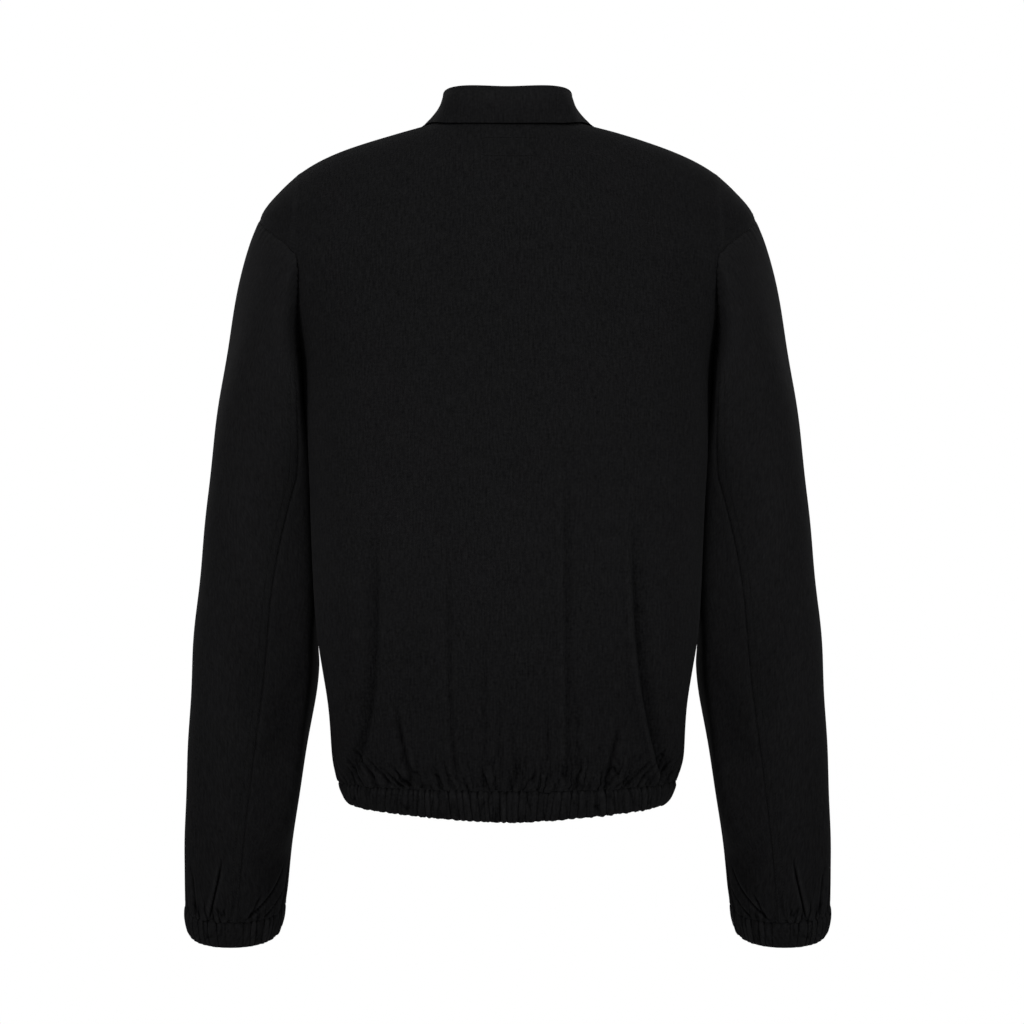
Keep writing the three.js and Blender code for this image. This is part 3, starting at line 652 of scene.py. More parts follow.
class Sheet:
    """A grid of points on the middle of a sheet, with outward directions and lengths both ways."""

    def __init__(self, points, wrapped=False, grain=0.5):
        """The columns close into a ring where the sheet is wrapped, and the grain line is a share of
        them. Painted shading is the light and shade painted into the cloth's colour, gathered how
        creased, and thinned scales its wall."""
        self.points, self.wrapped, self.flipped, self.grain = points, wrapped, False, grain
        self.measure()
        size = points.shape[:2]
        self.painted_shading, self.gathered, self.thinned = np.zeros(size), np.zeros(size), np.ones(size)

    def measure(self):
        """Outward directions (down the rows, crossed with along the columns) and lengths."""
        p = self.points
        if self.wrapped:
            wide = np.concatenate([p[:, -1:], p, p[:, :1]], axis=1)
            along = wide[:, 2:] - wide[:, :-2]
        else:
            along = np.gradient(p, axis=1)
        self.normals = unit(np.cross(np.gradient(p, axis=0), along)) * (-1 if self.flipped else 1)
        closed = np.concatenate([p, p[:, :1]], axis=1) if self.wrapped else p
        across = np.linalg.norm(np.diff(closed, axis=1), axis=-1)
        self.across = np.concatenate([np.zeros((len(p), 1)), np.cumsum(across, axis=1)], axis=1)
        down = np.linalg.norm(np.diff(p, axis=0), axis=-1)
        self.down = np.concatenate([np.zeros((1, p.shape[1])), np.cumsum(down, axis=0)], axis=0)

    def push(self, amount, shade=0.0, deep_shade=0.0):
        """Moves every point outward, and paints light and shade into the cloth: a painted highlight
        on sharp ridges and painted shade in sharp troughs, so the painted shading falls by how strongly
        the amount bends, its second rise along the columns and the rows, and a little with the depth of
        a broad trough, as painted shade."""
        amount = amount + np.zeros(self.points.shape[:2])
        self.painted_shading = self.painted_shading + deep_shade * np.minimum(amount, 0)
        for lengths, axis in ((self.from_first(), 1), (self.down, 0)):
            step = np.gradient(lengths, axis=axis)
            slope = np.gradient(amount, axis=axis) / step
            self.painted_shading = self.painted_shading - shade * np.gradient(slope, axis=axis) / step
        self.points = self.points + self.normals * amount[..., None]
        self.measure()
        return self

    def from_first(self):
        """Each point's distance from the first column, along its row."""
        return self.across[:, :self.points.shape[1]]

    def from_last(self):
        """Each point's distance from the last column, along its row."""
        return self.across[:, -1:] - self.from_first()

    def from_bottom(self):
        """Each point's distance from the last row, along its column."""
        return self.down[-1:] - self.down

    def mirrored(self):
        """The same sheet on the other side of the body."""
        flip = np.array([-1, 1, 1])
        twin = copy.copy(self)
        twin.points, twin.normals, twin.flipped = self.points * flip, self.normals * flip, not self.flipped
        return twin

    def evened(self, row, reach=8):
        """A row averaged over a few columns on both sides."""
        wide = np.pad(row, ((reach, reach), (0, 0)), mode="wrap" if self.wrapped else "edge")
        return sum(wide[k:k + len(row)] for k in range(2 * reach + 1)) / (2 * reach + 1)

    def tucked(self, by, under=1.6):
        """The sheet with a turning past its first row, which runs on straight and sinks inward."""
        ahead, out = self.evened(self.points[0] - self.points[4]), self.evened(self.normals[4])
        row = self.evened(self.points[0]) + unit(ahead) * by - unit(out) * under
        twin = Sheet(np.concatenate([row[None], self.points]), self.wrapped, self.grain)
        for name in ("painted_shading", "gathered", "thinned"):
            setattr(twin, name, np.pad(getattr(self, name), ((1, 0), (0, 0)), mode="edge"))
        return twin

    def at(self, rows, columns):
        """Points and outward directions at broken row and column numbers."""
        i = np.clip(np.floor(rows).astype(int), 0, len(self.points) - 2)
        j = np.clip(np.floor(columns).astype(int), 0, self.points.shape[1] - 2)
        a, b = (rows - i)[:, None], (columns - j)[:, None]
        blend = lambda g: ((1 - a) * (1 - b) * g[i, j] + (1 - a) * b * g[i, j + 1]
                           + a * (1 - b) * g[i + 1, j] + a * b * g[i + 1, j + 1])
        return blend(self.points), unit(blend(self.normals))


def cloth_object(name, sheet, thick, material):
    """A closed wall round a sheet: the outer grid, the inner grid turned over, and a rim that joins
    them. The UV map "cloth" holds the lengths across from the grain line and along, in metres."""
    rows, columns = sheet.points.shape[:2]
    spans = columns if sheet.wrapped else columns - 1
    half = sheet.normals * sheet.thinned[..., None] * thick / 2
    corners = np.concatenate([(sheet.points + half).reshape(-1, 3), (sheet.points - half).reshape(-1, 3)])

    def quads(a, b, c, d):
        """Faces from four (layer, row, column) corners, each an array or a number."""
        parts = [np.stack(np.broadcast_arrays(*corner), axis=-1).reshape(-1, 3) for corner in (a, b, c, d)]
        return np.stack(parts, axis=1)

    i, j = np.meshgrid(np.arange(rows - 1), np.arange(spans), indexing="ij")
    faces = [quads((0, i, j), (0, i + 1, j), (0, i + 1, j + 1), (0, i, j + 1)),
             quads((1, i, j), (1, i, j + 1), (1, i + 1, j + 1), (1, i + 1, j))]
    j, last = np.arange(spans), rows - 1
    faces += [quads((0, 0, j), (0, 0, j + 1), (1, 0, j + 1), (1, 0, j)),
              quads((0, last, j + 1), (0, last, j), (1, last, j), (1, last, j + 1))]
    if not sheet.wrapped:
        i = np.arange(rows - 1)
        faces += [quads((0, i + 1, 0), (0, i, 0), (1, i, 0), (1, i + 1, 0)),
                  quads((0, i, spans), (0, i + 1, spans), (1, i + 1, spans), (1, i, spans))]
    faces = np.concatenate(faces)
    if sheet.flipped:
        faces = faces[:, ::-1]
    layer, row, column = faces[..., 0], faces[..., 1], faces[..., 2]
    index = (layer * rows + row) * columns + column % columns
    across = sheet.across - sheet.across[:, [round((columns - 1) * sheet.grain)]]
    u = across[row, column]
    v = sheet.down[row, column % columns]
    mesh = mesh_from(name, corners, index, material)
    uv = mesh.uv_layers.new(name="cloth")
    uv.data.foreach_set("uv", (np.stack([u, v], axis=-1) * MM).ravel())
    # The painted light and shade, with the painted light held below its most.
    painted = np.clip(sheet.painted_shading, -1, MOST_PAINTED_LIGHT)
    for attribute, values in (("painted_shading", painted), ("gathered", sheet.gathered)):
        data = mesh.attributes.new(attribute, "FLOAT", "POINT").data
        data.foreach_set("value", np.tile(values.ravel(), 2))
    return place_piece(name, mesh)


def mesh_from(name, corners, faces, material):
    """A smooth mesh from corners in millimetres and faces of one size."""
    mesh = bpy.data.meshes.new(name)
    mesh.vertices.add(len(corners))
    mesh.vertices.foreach_set("co", (corners * MM).ravel())
    mesh.loops.add(faces.size)
    mesh.loops.foreach_set("vertex_index", faces.ravel().astype(np.int32))
    mesh.polygons.add(len(faces))
    mesh.polygons.foreach_set("loop_start", np.arange(0, faces.size, faces.shape[1], dtype=np.int32))
    mesh.update(calc_edges=True)
    mesh.validate()
    mesh.polygons.foreach_set("use_smooth", np.ones(len(mesh.polygons), bool))
    mesh.materials.append(material)
    return mesh


def place_piece(name, mesh):
    """A piece at the frame's origin that moves with the jacket."""
    piece = bpy.data.objects.new(name, mesh)
    bpy.context.collection.objects.link(piece)
    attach(piece, "root")
    return piece


# ---------------------------------------------------------------- the body


def reach(across, along, wide, depth, square):
    """How far a superellipse reaches from its middle in a direction: squarer for a larger power."""
    return (np.abs(across / wide) ** square + np.abs(along / depth) ** square) ** (-1 / square)


def body_form(turn, level):
    """Middle surface of the body by turn (0 centre back, 90 left side, 180 centre front) and level:
    a superellipse through the section's half width and its back or front, with the neck dropped
    and the hem dipped at the centre back."""
    turn, level = np.broadcast_arrays(np.radians(turn), level)
    across, along = np.sin(turn), np.cos(turn)
    section = lambda column: soft_read(BODY, column, level, BODY_BLUR)
    on_back, mid = along > 0, section("mid")
    depth = np.where(on_back, section("back") - mid, mid - section("front"))
    square = np.where(on_back, section("backSquare"), section("frontSquare"))
    far = reach(across, along, section("wide"), depth, square)
    front_drop = FRONT_NECK_DROP * np.abs(along) ** FRONT_NECK_SHAPE
    drop = np.where(on_back, BACK_NECK_DROP * along ** 2, front_drop)
    dip = (SEAM_DIP * ramp(DIP_STARTS, CASING_LEVEL, level)
           + (HEM_DIP - SEAM_DIP) * ramp(CASING_LEVEL, CASING_END, level))
    height = level - drop * ramp(NECK_DROP_FADES, NECK_LEVEL, level) - dip * np.maximum(along, 0) ** 2
    return np.stack([far * across, mid + far * along, height], axis=-1)


def body_levels(edge):
    """Rows from the casing's seam up to the neck, spaced by length along the panel's side edge: fine
    at both seams, close over the gathers and about 5 mm apart elsewhere."""
    line = lambda level: body_form(read(SIDE, edge, level), level)
    side_seam = graded_shares(330, [0, 3, 8, 62, 100, 330], [0.6, 0.8, 2, 2, 5.4, 5.4])
    armhole_edge = graded_shares(215, [0, 215], [5.4, 5])
    shoulder_seam = graded_shares(172, [0, 160, 168, 172], [5, 5, 0.8, 0.6])
    low, middle, high = (even_steps(line, *stretch)[0] for stretch in (
        (CASING_LEVEL, UNDERARM_LEVEL, side_seam),
        (UNDERARM_LEVEL, SHOULDER_LEVEL, armhole_edge),
        (SHOULDER_LEVEL, NECK_LEVEL, shoulder_seam),
    ))
    return np.concatenate([low, middle[1:], high[1:]])


def body_sheet(start, stop, levels, cells, length, grain=0.5):
    """A panel of the body between two turns, each given for every row."""
    curve = lambda turns: body_form(turns, levels[:, None])
    turns = even_steps(curve, start, stop, edged_shares(cells, length, WIDE_EDGES))
    return Sheet(curve(turns), grain=grain)


def hem_gathers(sheet, seed):
    """Gathers that stand up from the casing's seam, each to a height of its own and leaning outward
    on its way up. Where two of different heights meet, the sharp crease between them fades."""
    seam, above = (sheet.across[0] - sheet.across[0].mean())[None, :], sheet.down
    place = seam - 0.32 * above * np.tanh(seam / 60) + 1.2 * np.sin(above / 11 + seam / 17)
    ridge, own = gathers(place, seed, 8, 19, 0.6)
    reach = 12 + 36 * own ** 2
    fine, other = gathers(place + 3, seed + 7, 4.5, 10, 0.7)
    return ((ridge - 0.7) * 2.6 * ramp(1.1, 0.3, above / reach) * ramp(-3, 1, above)
            + (fine - 0.7) * 1.8 * ramp(1.1, 0.2, above / (5 + 15 * other)))


def armhole_puckers(away, along, seed):
    """Small puckers square to a seam, by the distance from it and the place along it."""
    ridge, own = gathers(along, seed, 5, 11)
    return (ridge - 0.6) * 1.3 * bell(away, 4 + 9 * own)


def on_armhole(levels):
    """1 on the rows whose side edge is the armhole line, fading at the underarm and the shoulder."""
    from_underarm = ramp(UNDERARM_LEVEL, UNDERARM_LEVEL + 20, levels)
    return (from_underarm * ramp(SHOULDER_LEVEL + 8, SHOULDER_LEVEL - 6, levels))[:, None]


def body_gathering(sheet, loose=1.0):
    """How a body panel is painted darker towards the casing, as painted shade, and where its gather creases
    are drawn.
    """
    sheet.painted_shading -= HEM_SHADE * ramp(230, 10, sheet.down)
    sheet.gathered = ramp(42, 6, sheet.down) * loose


def back_sheet():
    """The back, from side edge to side edge and from the casing's seam to the neck."""
    levels = body_levels("backEdge")
    edge = read(SIDE, "backEdge", levels)
    sheet = body_sheet(-edge - SEAM_LAP, edge + SEAM_LAP, levels, 284, 380)
    right, left = sheet.from_first(), sheet.from_last()
    calm = ramp(0, CALM, np.minimum(right, left))
    sheet.push(unevenness(sheet.points, 3, 150, 0.6) * calm)
    sheet.push(-creases(BACK_FOLDS, sheet.points[..., 0], sheet.points[..., 2]) * calm, 0.6, 0.06)
    sheet.push(hem_gathers(sheet, 21) * (0.2 + 0.8 * calm), 0.8, 0.05)
    ridge, painted = turn_fold(sheet)
    sheet.push(ridge, 0.8)
    # Painted highlight along the fold's line, and painted light beside it.
    sheet.painted_shading += painted
    body_gathering(sheet)
    # Painted shade: the back a little darker towards its top.
    sheet.painted_shading -= YOKE_SHADE * ramp(-320, -80, sheet.points[..., 2])
    over_shoulder = 0.6 + 0.4 * ramp(SHOULDER_LEVEL + 6, SHOULDER_LEVEL, levels)[:, None]
    for away, seed in ((right, 31), (left, 32)):
        sheet.push(armhole_puckers(away, sheet.down, seed) * on_armhole(levels), 0.5)
        sheet.push(pinch(away) * over_shoulder, 0.45)
    return sheet.push(pinch(sheet.down), 0.45)


def front_sheet(folds, lap_step, seed):
    """The left front, from its side edge to the overlap past the centre front."""
    levels = body_levels("frontEdge")
    edge = read(SIDE, "frontEdge", levels)
    past = 180 + np.degrees(LAP / np.abs(body_form(180.0, levels)[:, 1]))
    sheet = body_sheet(edge - SEAM_LAP, past, levels, 132, 225, grain=1)
    side, lapped = sheet.from_first(), sheet.from_last()
    x = sheet.points[..., 0]
    sheet.push(lap_step * ramp(LAP_EASE_NONE, LAP_EASE_FULL, np.abs(x)))
    loose = ramp(14, 34, lapped) * ramp(0, CALM, side)
    sheet.push(unevenness(sheet.points, seed, 150, 0.7) * loose)
    sheet.push(-creases(folds, x, sheet.points[..., 2]) * loose, 0.7, 0.08)
    sheet.push(hem_gathers(sheet, seed + 1) * loose, 0.8, 0.05)
    body_gathering(sheet, loose)
    sheet.push(armhole_puckers(side, sheet.down, seed + 2) * on_armhole(levels), 0.5)
    sheet.push(pinch(side), 0.45)
    return sheet.push(pinch(sheet.down), 0.45)


def band_sheet():
    """The hem casing, gathered by its elastic: a strip all round from the left front's edge to the
    right front's, lapped at the centre. Ridges of three sizes, slanting a little, stand on it."""
    depth, length, column = 23, 860, 0.9
    shares = edged_shares(14, depth, SEAM_EDGES)
    levels = CASING_LEVEL + (CASING_END - CASING_LEVEL) * shares
    past = np.full(len(levels), 180 + np.degrees(LAP / CASING_LAP_RADIUS))
    curve = lambda turns: body_form(turns, levels[:, None])
    turns = even_steps(curve, past, -past, edged_shares(round(length / column), length, WIDE_EDGES))
    sheet = Sheet(curve(turns))
    calm = ramp(4, CALM, np.minimum(sheet.from_first(), sheet.from_last()))
    sheet.push(CASING_LAP_STEP * np.where(turns > 0, 1, -1) * ramp(*CASING_LAP_TURNS, np.abs(turns)))
    place = sheet.from_first() - sheet.across[:, -1:] / 2
    slant = 1.3 * np.sin(place / 23) * (shares[:, None] - 0.5)
    ridge, _ = gathers(place + slant * 3, 41, 4.5, 13)
    broad, _ = gathers(place + slant * 5, 42, 16, 34)
    fine, _ = gathers(place + slant * 2, 43, 3, 7)
    ridges = (ridge - 0.6) * 1.6 + (broad - 0.6) * 0.6 + (fine - 0.6) * 0.9
    sheet.push(ridges * (0.25 + 0.75 * calm), 0.6, 0.05)
    # Painted shade over the whole gathered casing.
    sheet.painted_shading -= BAND_SHADE
    sheet.gathered = 0.6 * calm
    rolled = pinch(sheet.down, 1.2, 2.0) + pinch(sheet.from_bottom(), 1.0, 1.4)
    sheet.push(rolled + 0.8 * np.sin(np.pi * shares[:, None]), 0.4)
    return sheet.tucked(3.5)


# ---------------------------------------------------------------- sleeves


def sleeve_ring(angle, level):
    """A point of the left sleeve's ring: a superellipse leant about its own X axis, and squarer at the
    back towards the body, where the two lie against each other."""
    angle, level = np.broadcast_arrays(np.radians(angle), level)
    ring = lambda column: soft_read(SLEEVE, column, level, SLEEVE_BLUR)
    across, along = np.cos(angle), np.sin(angle)
    pressed = SLEEVE_PRESSED * np.clip(-np.sin(2 * angle), 0, 1) * (along > 0) * ramp(-660, -540, level)
    square = SLEEVE_SQUARE + pressed
    far = reach(across, along, ring("wide"), ring("deep"), square)
    lean = np.radians(ring("lean"))
    return np.stack([ring("centreX") + far * across, ring("centreY") + far * along * np.cos(lean),
                     level - far * along * np.sin(lean)], axis=-1)


def armhole(angle):
    """The armhole line by angle: the back's edge from 0 to 180, then the front's edge back up."""
    whole = np.mod(angle, 360)
    part = np.where(whole <= 180, whole, 360 - whole) / 180
    shares = np.linspace(0, 1, 361)
    lines = []
    for edge in ("backEdge", "frontEdge"):
        line = lambda level: body_form(read(SIDE, edge, level), level)
        levels = even_steps(line, SHOULDER_LEVEL, UNDERARM_LEVEL, shares)[0]
        points = line(levels)
        lines.append(np.stack([np.interp(part, shares, points[:, k]) for k in range(3)], axis=-1))
    return np.where((whole <= 180)[..., None], lines[0], lines[1])


def sleeve_cap(angle, part):
    """A cubic from the armhole down into the first ring. It leaves steeply at the shoulder, almost
    level under the arm, and a little backward at the back and forward at the front, with some
    fullness behind the arm that stands up close to the seam."""
    angle, part = np.broadcast_arrays(angle, part)
    start, end = armhole(angle), sleeve_ring(angle, float(SLEEVE_START))
    turn = np.radians(angle)[..., None]
    under = 0.5 - 0.5 * np.cos(turn)
    length = np.linalg.norm(end - start, axis=-1, keepdims=True)
    leave = CAP_LEAVES_SHOULDER + (CAP_LEAVES_UNDERARM - CAP_LEAVES_SHOULDER) * under
    leave = leave * (1 - bell(angle - 138, 40)[..., None] * np.array([0.9, 0, 0]))
    leave = unit(leave + CAP_SPREAD * np.sin(turn) * np.array([0, 1, 0])) * CAP_PULL * length
    arrive = unit(sleeve_ring(angle, SLEEVE_START - 1.0) - end) * length
    t = part[..., None]
    full = CAP_FULL * bell(angle - 135, 40)[..., None] * np.array([0.1, 1, 0])
    return (start * (1 + 2 * t) * (1 - t) ** 2 + leave * t * (1 - t) ** 2
            + end * t * t * (3 - 2 * t) + arrive * t * t * (t - 1) + full * np.sin(np.pi * t ** 0.5))


def clear_of_body(points, by):
    """Points kept outside the body's left side by some distance: where one lies further in than the
    body's section reaches at its place along Y, it moves out level with it."""
    level = np.clip(points[..., 2], CASING_LEVEL, SHOULDER_LEVEL)
    section = lambda column: soft_read(BODY, column, level, BODY_BLUR)
    mid = section("mid")
    on_back = points[..., 1] > mid
    depth = np.abs(np.where(on_back, section("back"), section("front")) - mid)
    square = np.where(on_back, section("backSquare"), section("frontSquare"))
    share = np.clip(np.abs(points[..., 1] - mid) / depth, 0, 0.999)
    side = section("wide") * (1 - share ** square) ** (1 / square) + by
    return np.concatenate([np.maximum(points[..., :1], side[..., None]), points[..., 1:]], axis=-1)


def sleeve_form(angle, down):
    """The whole left sleeve by one value: 0 to 1 down the cap, then 1 to 2 down the rings."""
    level = SLEEVE_START + (SLEEVE_END - SLEEVE_START) * np.clip(down - 1, 0, 1)
    ring = sleeve_ring(angle, level)
    cap = sleeve_cap(angle, np.clip(down, 0, 1))
    whole = np.where((np.broadcast_to(down, ring.shape[:-1]) <= 1)[..., None], cap, ring)
    past_seam = ramp(0, 0.12, down)
    return clear_of_body(whole, SLEEVE_CLEAR * past_seam - CAP_SUNK * ramp(0.12, 0, down))


def sleeve_folds(piece, angles, height):
    """Depth of the sleeve's creases, given by angles from -180 to 200: the under piece, whose angles
    run on past 200, also reads the creases of its front half a whole turn back."""
    around = np.pi / 180 * 52
    if piece == "top":
        return creases(SLEEVE_FOLDS, np.where(angles > 200, angles - 360, angles), height, around)
    back = np.where(angles > 180, angles - 360, angles)
    turned = creases(SLEEVE_FOLDS, back, height, around) * (back < 0)
    return creases(SLEEVE_FOLDS, angles, height, around) + turned


def sleeve_sheet(piece, cells, length):
    """The top or the under piece of the left sleeve, from the armhole to the cuff's seam, with rows
    that are fine at both seams, close over the cap's fullness and the cuff's gathers."""
    cap = graded_shares(195, [0, 3, 8, 30, 60, 195], [0.6, 0.8, 2.4, 2.4, 5.4, 5.4])
    rings = graded_shares(400, [0, 290, 325, 392, 397, 400], [5.4, 5.4, 2, 2, 0.8, 0.6])
    down = np.concatenate([cap, 1 + rings[1:]])
    level = np.where(down <= 1, UNDERARM_LEVEL + (SLEEVE_START - UNDERARM_LEVEL) * down,
                     SLEEVE_START + (SLEEVE_END - SLEEVE_START) * (down - 1))
    back, front = read(SLEEVE_SEAMS, "back", level), read(SLEEVE_SEAMS, "front", level)
    start, stop = (front - 360, back) if piece == "top" else (back, front)
    curve = lambda angles: sleeve_form(angles, down[:, None])
    angles = even_steps(curve, start, stop, edged_shares(cells, length, WIDE_EDGES))
    sheet = Sheet(curve(angles))
    folds = sleeve_folds(piece, angles, sheet.points[..., 2])
    sheet.push(unevenness(sheet.points, 8, 120, 1.2) * ramp(0, 40, sheet.down))
    sheet.push(-folds, 0.9, 0.09)
    first, last, above = sheet.from_first(), sheet.from_last(), sheet.from_bottom()
    place = angles * np.pi / 180 * SLEEVE_AROUND
    ridge, own = gathers(place + 1.5 * np.sin(above / 9), 51, 5, 12)
    sheet.push((ridge - 0.6) * 2.4 * ramp(1, 0, above / (7 + 24 * own ** 2)), 0.8, 0.05)
    sheet.push(armhole_puckers(sheet.down, walk_along(armhole(angles[0])), 61), 0.5)
    sheet.push(pinch(first, 0.9) + pinch(last, 0.9), 0.45)
    sheet.push(pinch(sheet.down, 0.9) + pinch(above, 0.9, 1.8), 0.35)
    # Painted light over the whole sleeve, and painted shade towards the cuff.
    sheet.painted_shading += SLEEVE_LIGHT - SLEEVE_SHADE * ramp(330, 0, above)
    sheet.gathered = ramp(30, 3, above) * 0.8
    return sheet.tucked(3.0)


def cuff_sheet():
    """The left cuff: a casing gathered by its elastic, with a flatter stretch at the back seam."""
    depth, columns = 24, 360
    shares = edged_shares(14, depth, SEAM_EDGES)
    levels = SLEEVE_END + (CUFF_END - SLEEVE_END) * shares
    angles = np.linspace(0, 360, columns, endpoint=False)
    sheet = Sheet(sleeve_ring(angles[None, :], levels[:, None]), wrapped=True)
    place = np.radians(angles) * CUFF_AROUND
    ridge, _ = gathers(place + 1.5 * np.sin(place / 19) * (shares[:, None] - 0.5), 71, 4.2, 10)
    joint = ramp(0, 14, np.minimum(place, place[-1] - place))
    loose = (1 - 0.85 * bell(angles - 92, 13)) * joint
    sheet.push((ridge - 0.6) * 2.4 * loose, 0.8, 0.06)
    # Painted shade over the whole gathered cuff.
    sheet.painted_shading -= CUFF_SHADE
    sheet.gathered += 0.6 * loose
    rolled = pinch(sheet.down, 0.9, 1.8) + pinch(sheet.from_bottom(), 1.0, 1.4)
    sheet.push(rolled + 0.7 * np.sin(np.pi * shares[:, None]), 0.3)
    return sheet.tucked(3.5)


# ---------------------------------------------------------------- collar


def fold_line(along):
    """The collar's fold by place along it, from -1 at the right end to 1 at the left end."""
    turn = np.radians(read(COLLAR, "foldTurn", np.abs(along))) * np.sign(along)
    on_back = np.cos(turn) > 0
    depth, square = np.where(on_back, FOLD_BACK, FOLD_FRONT), np.where(on_back, FOLD_SQUARE, 2)
    far = reach(np.sin(turn), np.cos(turn), FOLD_WIDE, depth, square)
    return np.stack([far * np.sin(turn), far * np.cos(turn), read(COLLAR, "foldZ", np.abs(along))], axis=-1)


def neck_line(along):
    """The collar's neck seam by place along it, on the body's own neck edge."""
    return body_form(np.sign(along) * read(COLLAR, "neckTurn", np.abs(along)), float(NECK_LEVEL))


def fold_frame(along):
    """The fold's point with the two directions that its roll turns in: level out, and up."""
    course = unit(fold_line(along + 0.01) - fold_line(along - 0.01))
    fold = fold_line(along)
    out = unit(np.stack([-course[..., 1], course[..., 0], 0 * course[..., 0]], axis=-1))
    out *= np.sign((out * fold).sum(-1, keepdims=True))
    up = np.cross(course, out)
    return fold, out, up * np.sign(up[..., 2:])


def stand_sheet():
    """The stand: straight from just above the neck seam to just under the roll, hollowed inward."""
    shares = edged_shares(16, 30, SEAM_EDGES)
    along = np.linspace(-1, 1, 181)[None, :]
    part = shares[:, None]
    fold, out, up = fold_frame(along)
    top = fold - ROLL_RADIUS * out - (ROLL_RADIUS + SEAM) * up
    neck = neck_line(along)
    course = unit(neck_line(along + 0.01) - neck_line(along - 0.01))
    rise = top - neck
    rise = unit(rise - (rise * course).sum(-1, keepdims=True) * course)
    lapped = (0.2 + LAP_STEP * ramp(0.85, 1, np.abs(along)))[..., None]
    foot = neck - 2.5 * rise - 1.5 * out + rise * lapped
    points = foot + (top - foot) * part[..., None] - STAND_HOLLOW * out * np.sin(np.pi * part)[..., None]
    return Sheet(points)


def body_outward(turn, level):
    """Outward directions of the body's middle surface, from small steps both ways."""
    around = body_form(turn + 0.5, level) - body_form(turn - 0.5, level)
    upward = body_form(turn, level + 1) - body_form(turn, level - 1)
    return unit(np.cross(upward, around))


def level_at_height(turn, height):
    """The level at which the body stands at a height, found by halving."""
    low, high = np.full(turn.shape, float(CASING_END)), np.full(turn.shape, float(NECK_LEVEL))
    for _ in range(30):
        half = (low + high) / 2
        below = body_form(turn, half)[..., 2] < height
        low, high = np.where(below, half, low), np.where(below, high, half)
    return (low + high) / 2


def fall_sheet():
    """The fall: a half circle over the roll, then a drop to the outer edge that swells on the way."""
    below = edged_shares(22, 45, SEAM_EDGES)[4:]
    over = np.concatenate([np.linspace(0, ROLL_SHARE, 9), ROLL_SHARE + (1 - ROLL_SHARE) * below])
    over = np.unique(np.round(over, 5))[:, None]
    along = np.linspace(-1, 1, 221)[None, :]
    fold, out, up = fold_frame(along)
    centre = fold - ROLL_RADIUS * up
    angle = (np.pi * (1 - np.clip(over / ROLL_SHARE, 0, 1)))[..., None]
    roll = centre + ROLL_RADIUS * (np.cos(angle) * out + np.sin(angle) * up)
    column = lambda name: read(COLLAR, name, np.abs(along))
    turn = np.sign(along) * column("edgeTurn")
    level = level_at_height(turn, column("edgeZ"))
    edge = body_form(turn, level) + column("lift")[..., None] * body_outward(turn, level)
    part = np.clip((over - ROLL_SHARE) / (1 - ROLL_SHARE), 0, 1)
    start = centre + ROLL_RADIUS * out
    swell = column("bulge") * np.sin(np.pi * part ** 0.7)
    drop = start + (edge - start) * part[..., None] + out * swell[..., None]
    sheet = Sheet(np.where((over <= ROLL_SHARE)[..., None], roll, drop))
    sheet.push(unevenness(sheet.points, 12, 70, 0.4) * ramp(0.2, 0.6, over))
    to_edge = sheet.from_bottom()
    sheet.push(pinch(to_edge, 0.8, 3.5))
    sheet.thinned = 0.3 + 0.7 * ramp(0, 5, to_edge)
    # Painted light: the fall a little lighter all over.
    sheet.painted_shading += 0.05
    return sheet


# ---------------------------------------------------------------- stitches and snaps


def stitches(points, normals, pitch=3.1, length=2.3, thick=0.34, sit=0.75):
    """Stitches along a line on a sheet: four-sided threads that bow out of the cloth, evenly spaced
    by length. Each is four rings of four corners, closed at both ends."""
    walk = walk_along(points)
    count = int(walk[-1] // pitch)
    middles = (np.arange(count) + 0.5) * walk[-1] / count
    pick = lambda grid, at: np.stack([np.interp(at, walk, grid[:, k]) for k in range(3)], axis=-1)
    rings = np.array([-0.5, -0.22, 0.22, 0.5])
    spread = np.array([0.4, 1.0, 1.0, 0.4])
    at = middles[:, None] + rings * length
    centre, normal = pick(points, at.ravel()), unit(pick(normals, at.ravel()))
    ahead = unit(pick(points, (at + 0.4).ravel()) - pick(points, (at - 0.4).ravel()))
    beside = unit(np.cross(normal, ahead))
    shape = (count, len(rings), 1, 3)
    centre, normal, beside = (a.reshape(shape) for a in (centre, normal, beside))
    lift = (sit + thick * (np.cos(rings * np.pi) - 0.75)).reshape(1, -1, 1, 1)
    turn = (2 * np.pi * np.arange(4) / 4).reshape(1, 1, -1, 1)
    radius = (thick * spread).reshape(1, -1, 1, 1)
    corners = centre + normal * lift + radius * (np.cos(turn) * beside + np.sin(turn) * normal)
    k, r, c = np.meshgrid(np.arange(count), np.arange(len(rings) - 1), np.arange(4), indexing="ij")
    number = lambda k, r, c: (k * len(rings) + r) * 4 + c % 4
    faces = np.stack([number(k, r + down, c + on) for down, on in FACE_CORNERS], -1)
    each = np.arange(count)
    caps = [np.stack([number(each, ring, c) for c in order], -1)
            for ring, order in ((0, (3, 2, 1, 0)), (len(rings) - 1, (0, 1, 2, 3)))]
    return corners.reshape(-1, 3), np.concatenate([faces.reshape(-1, 4), *caps])


def stitch_object(name, lines, material, **how):
    """One mesh of stitches along several lines, each of points and outward directions."""
    corners, faces, total = [], [], 0
    for points, normals in lines:
        line_corners, line_faces = stitches(points, normals, **how)
        corners.append(line_corners)
        faces.append(line_faces + total)
        total += len(line_corners)
    mesh = mesh_from(name, np.concatenate(corners), np.concatenate(faces), material)
    return place_piece(name, mesh)


def numbers_at(lengths, away):
    """For each row of lengths, the broken number of the place at a distance from its start, or from
    its end where the distance is negative."""
    numbers = np.arange(lengths.shape[1], dtype=float)
    return np.array([np.interp(away if away >= 0 else row[-1] + away, row, numbers) for row in lengths])


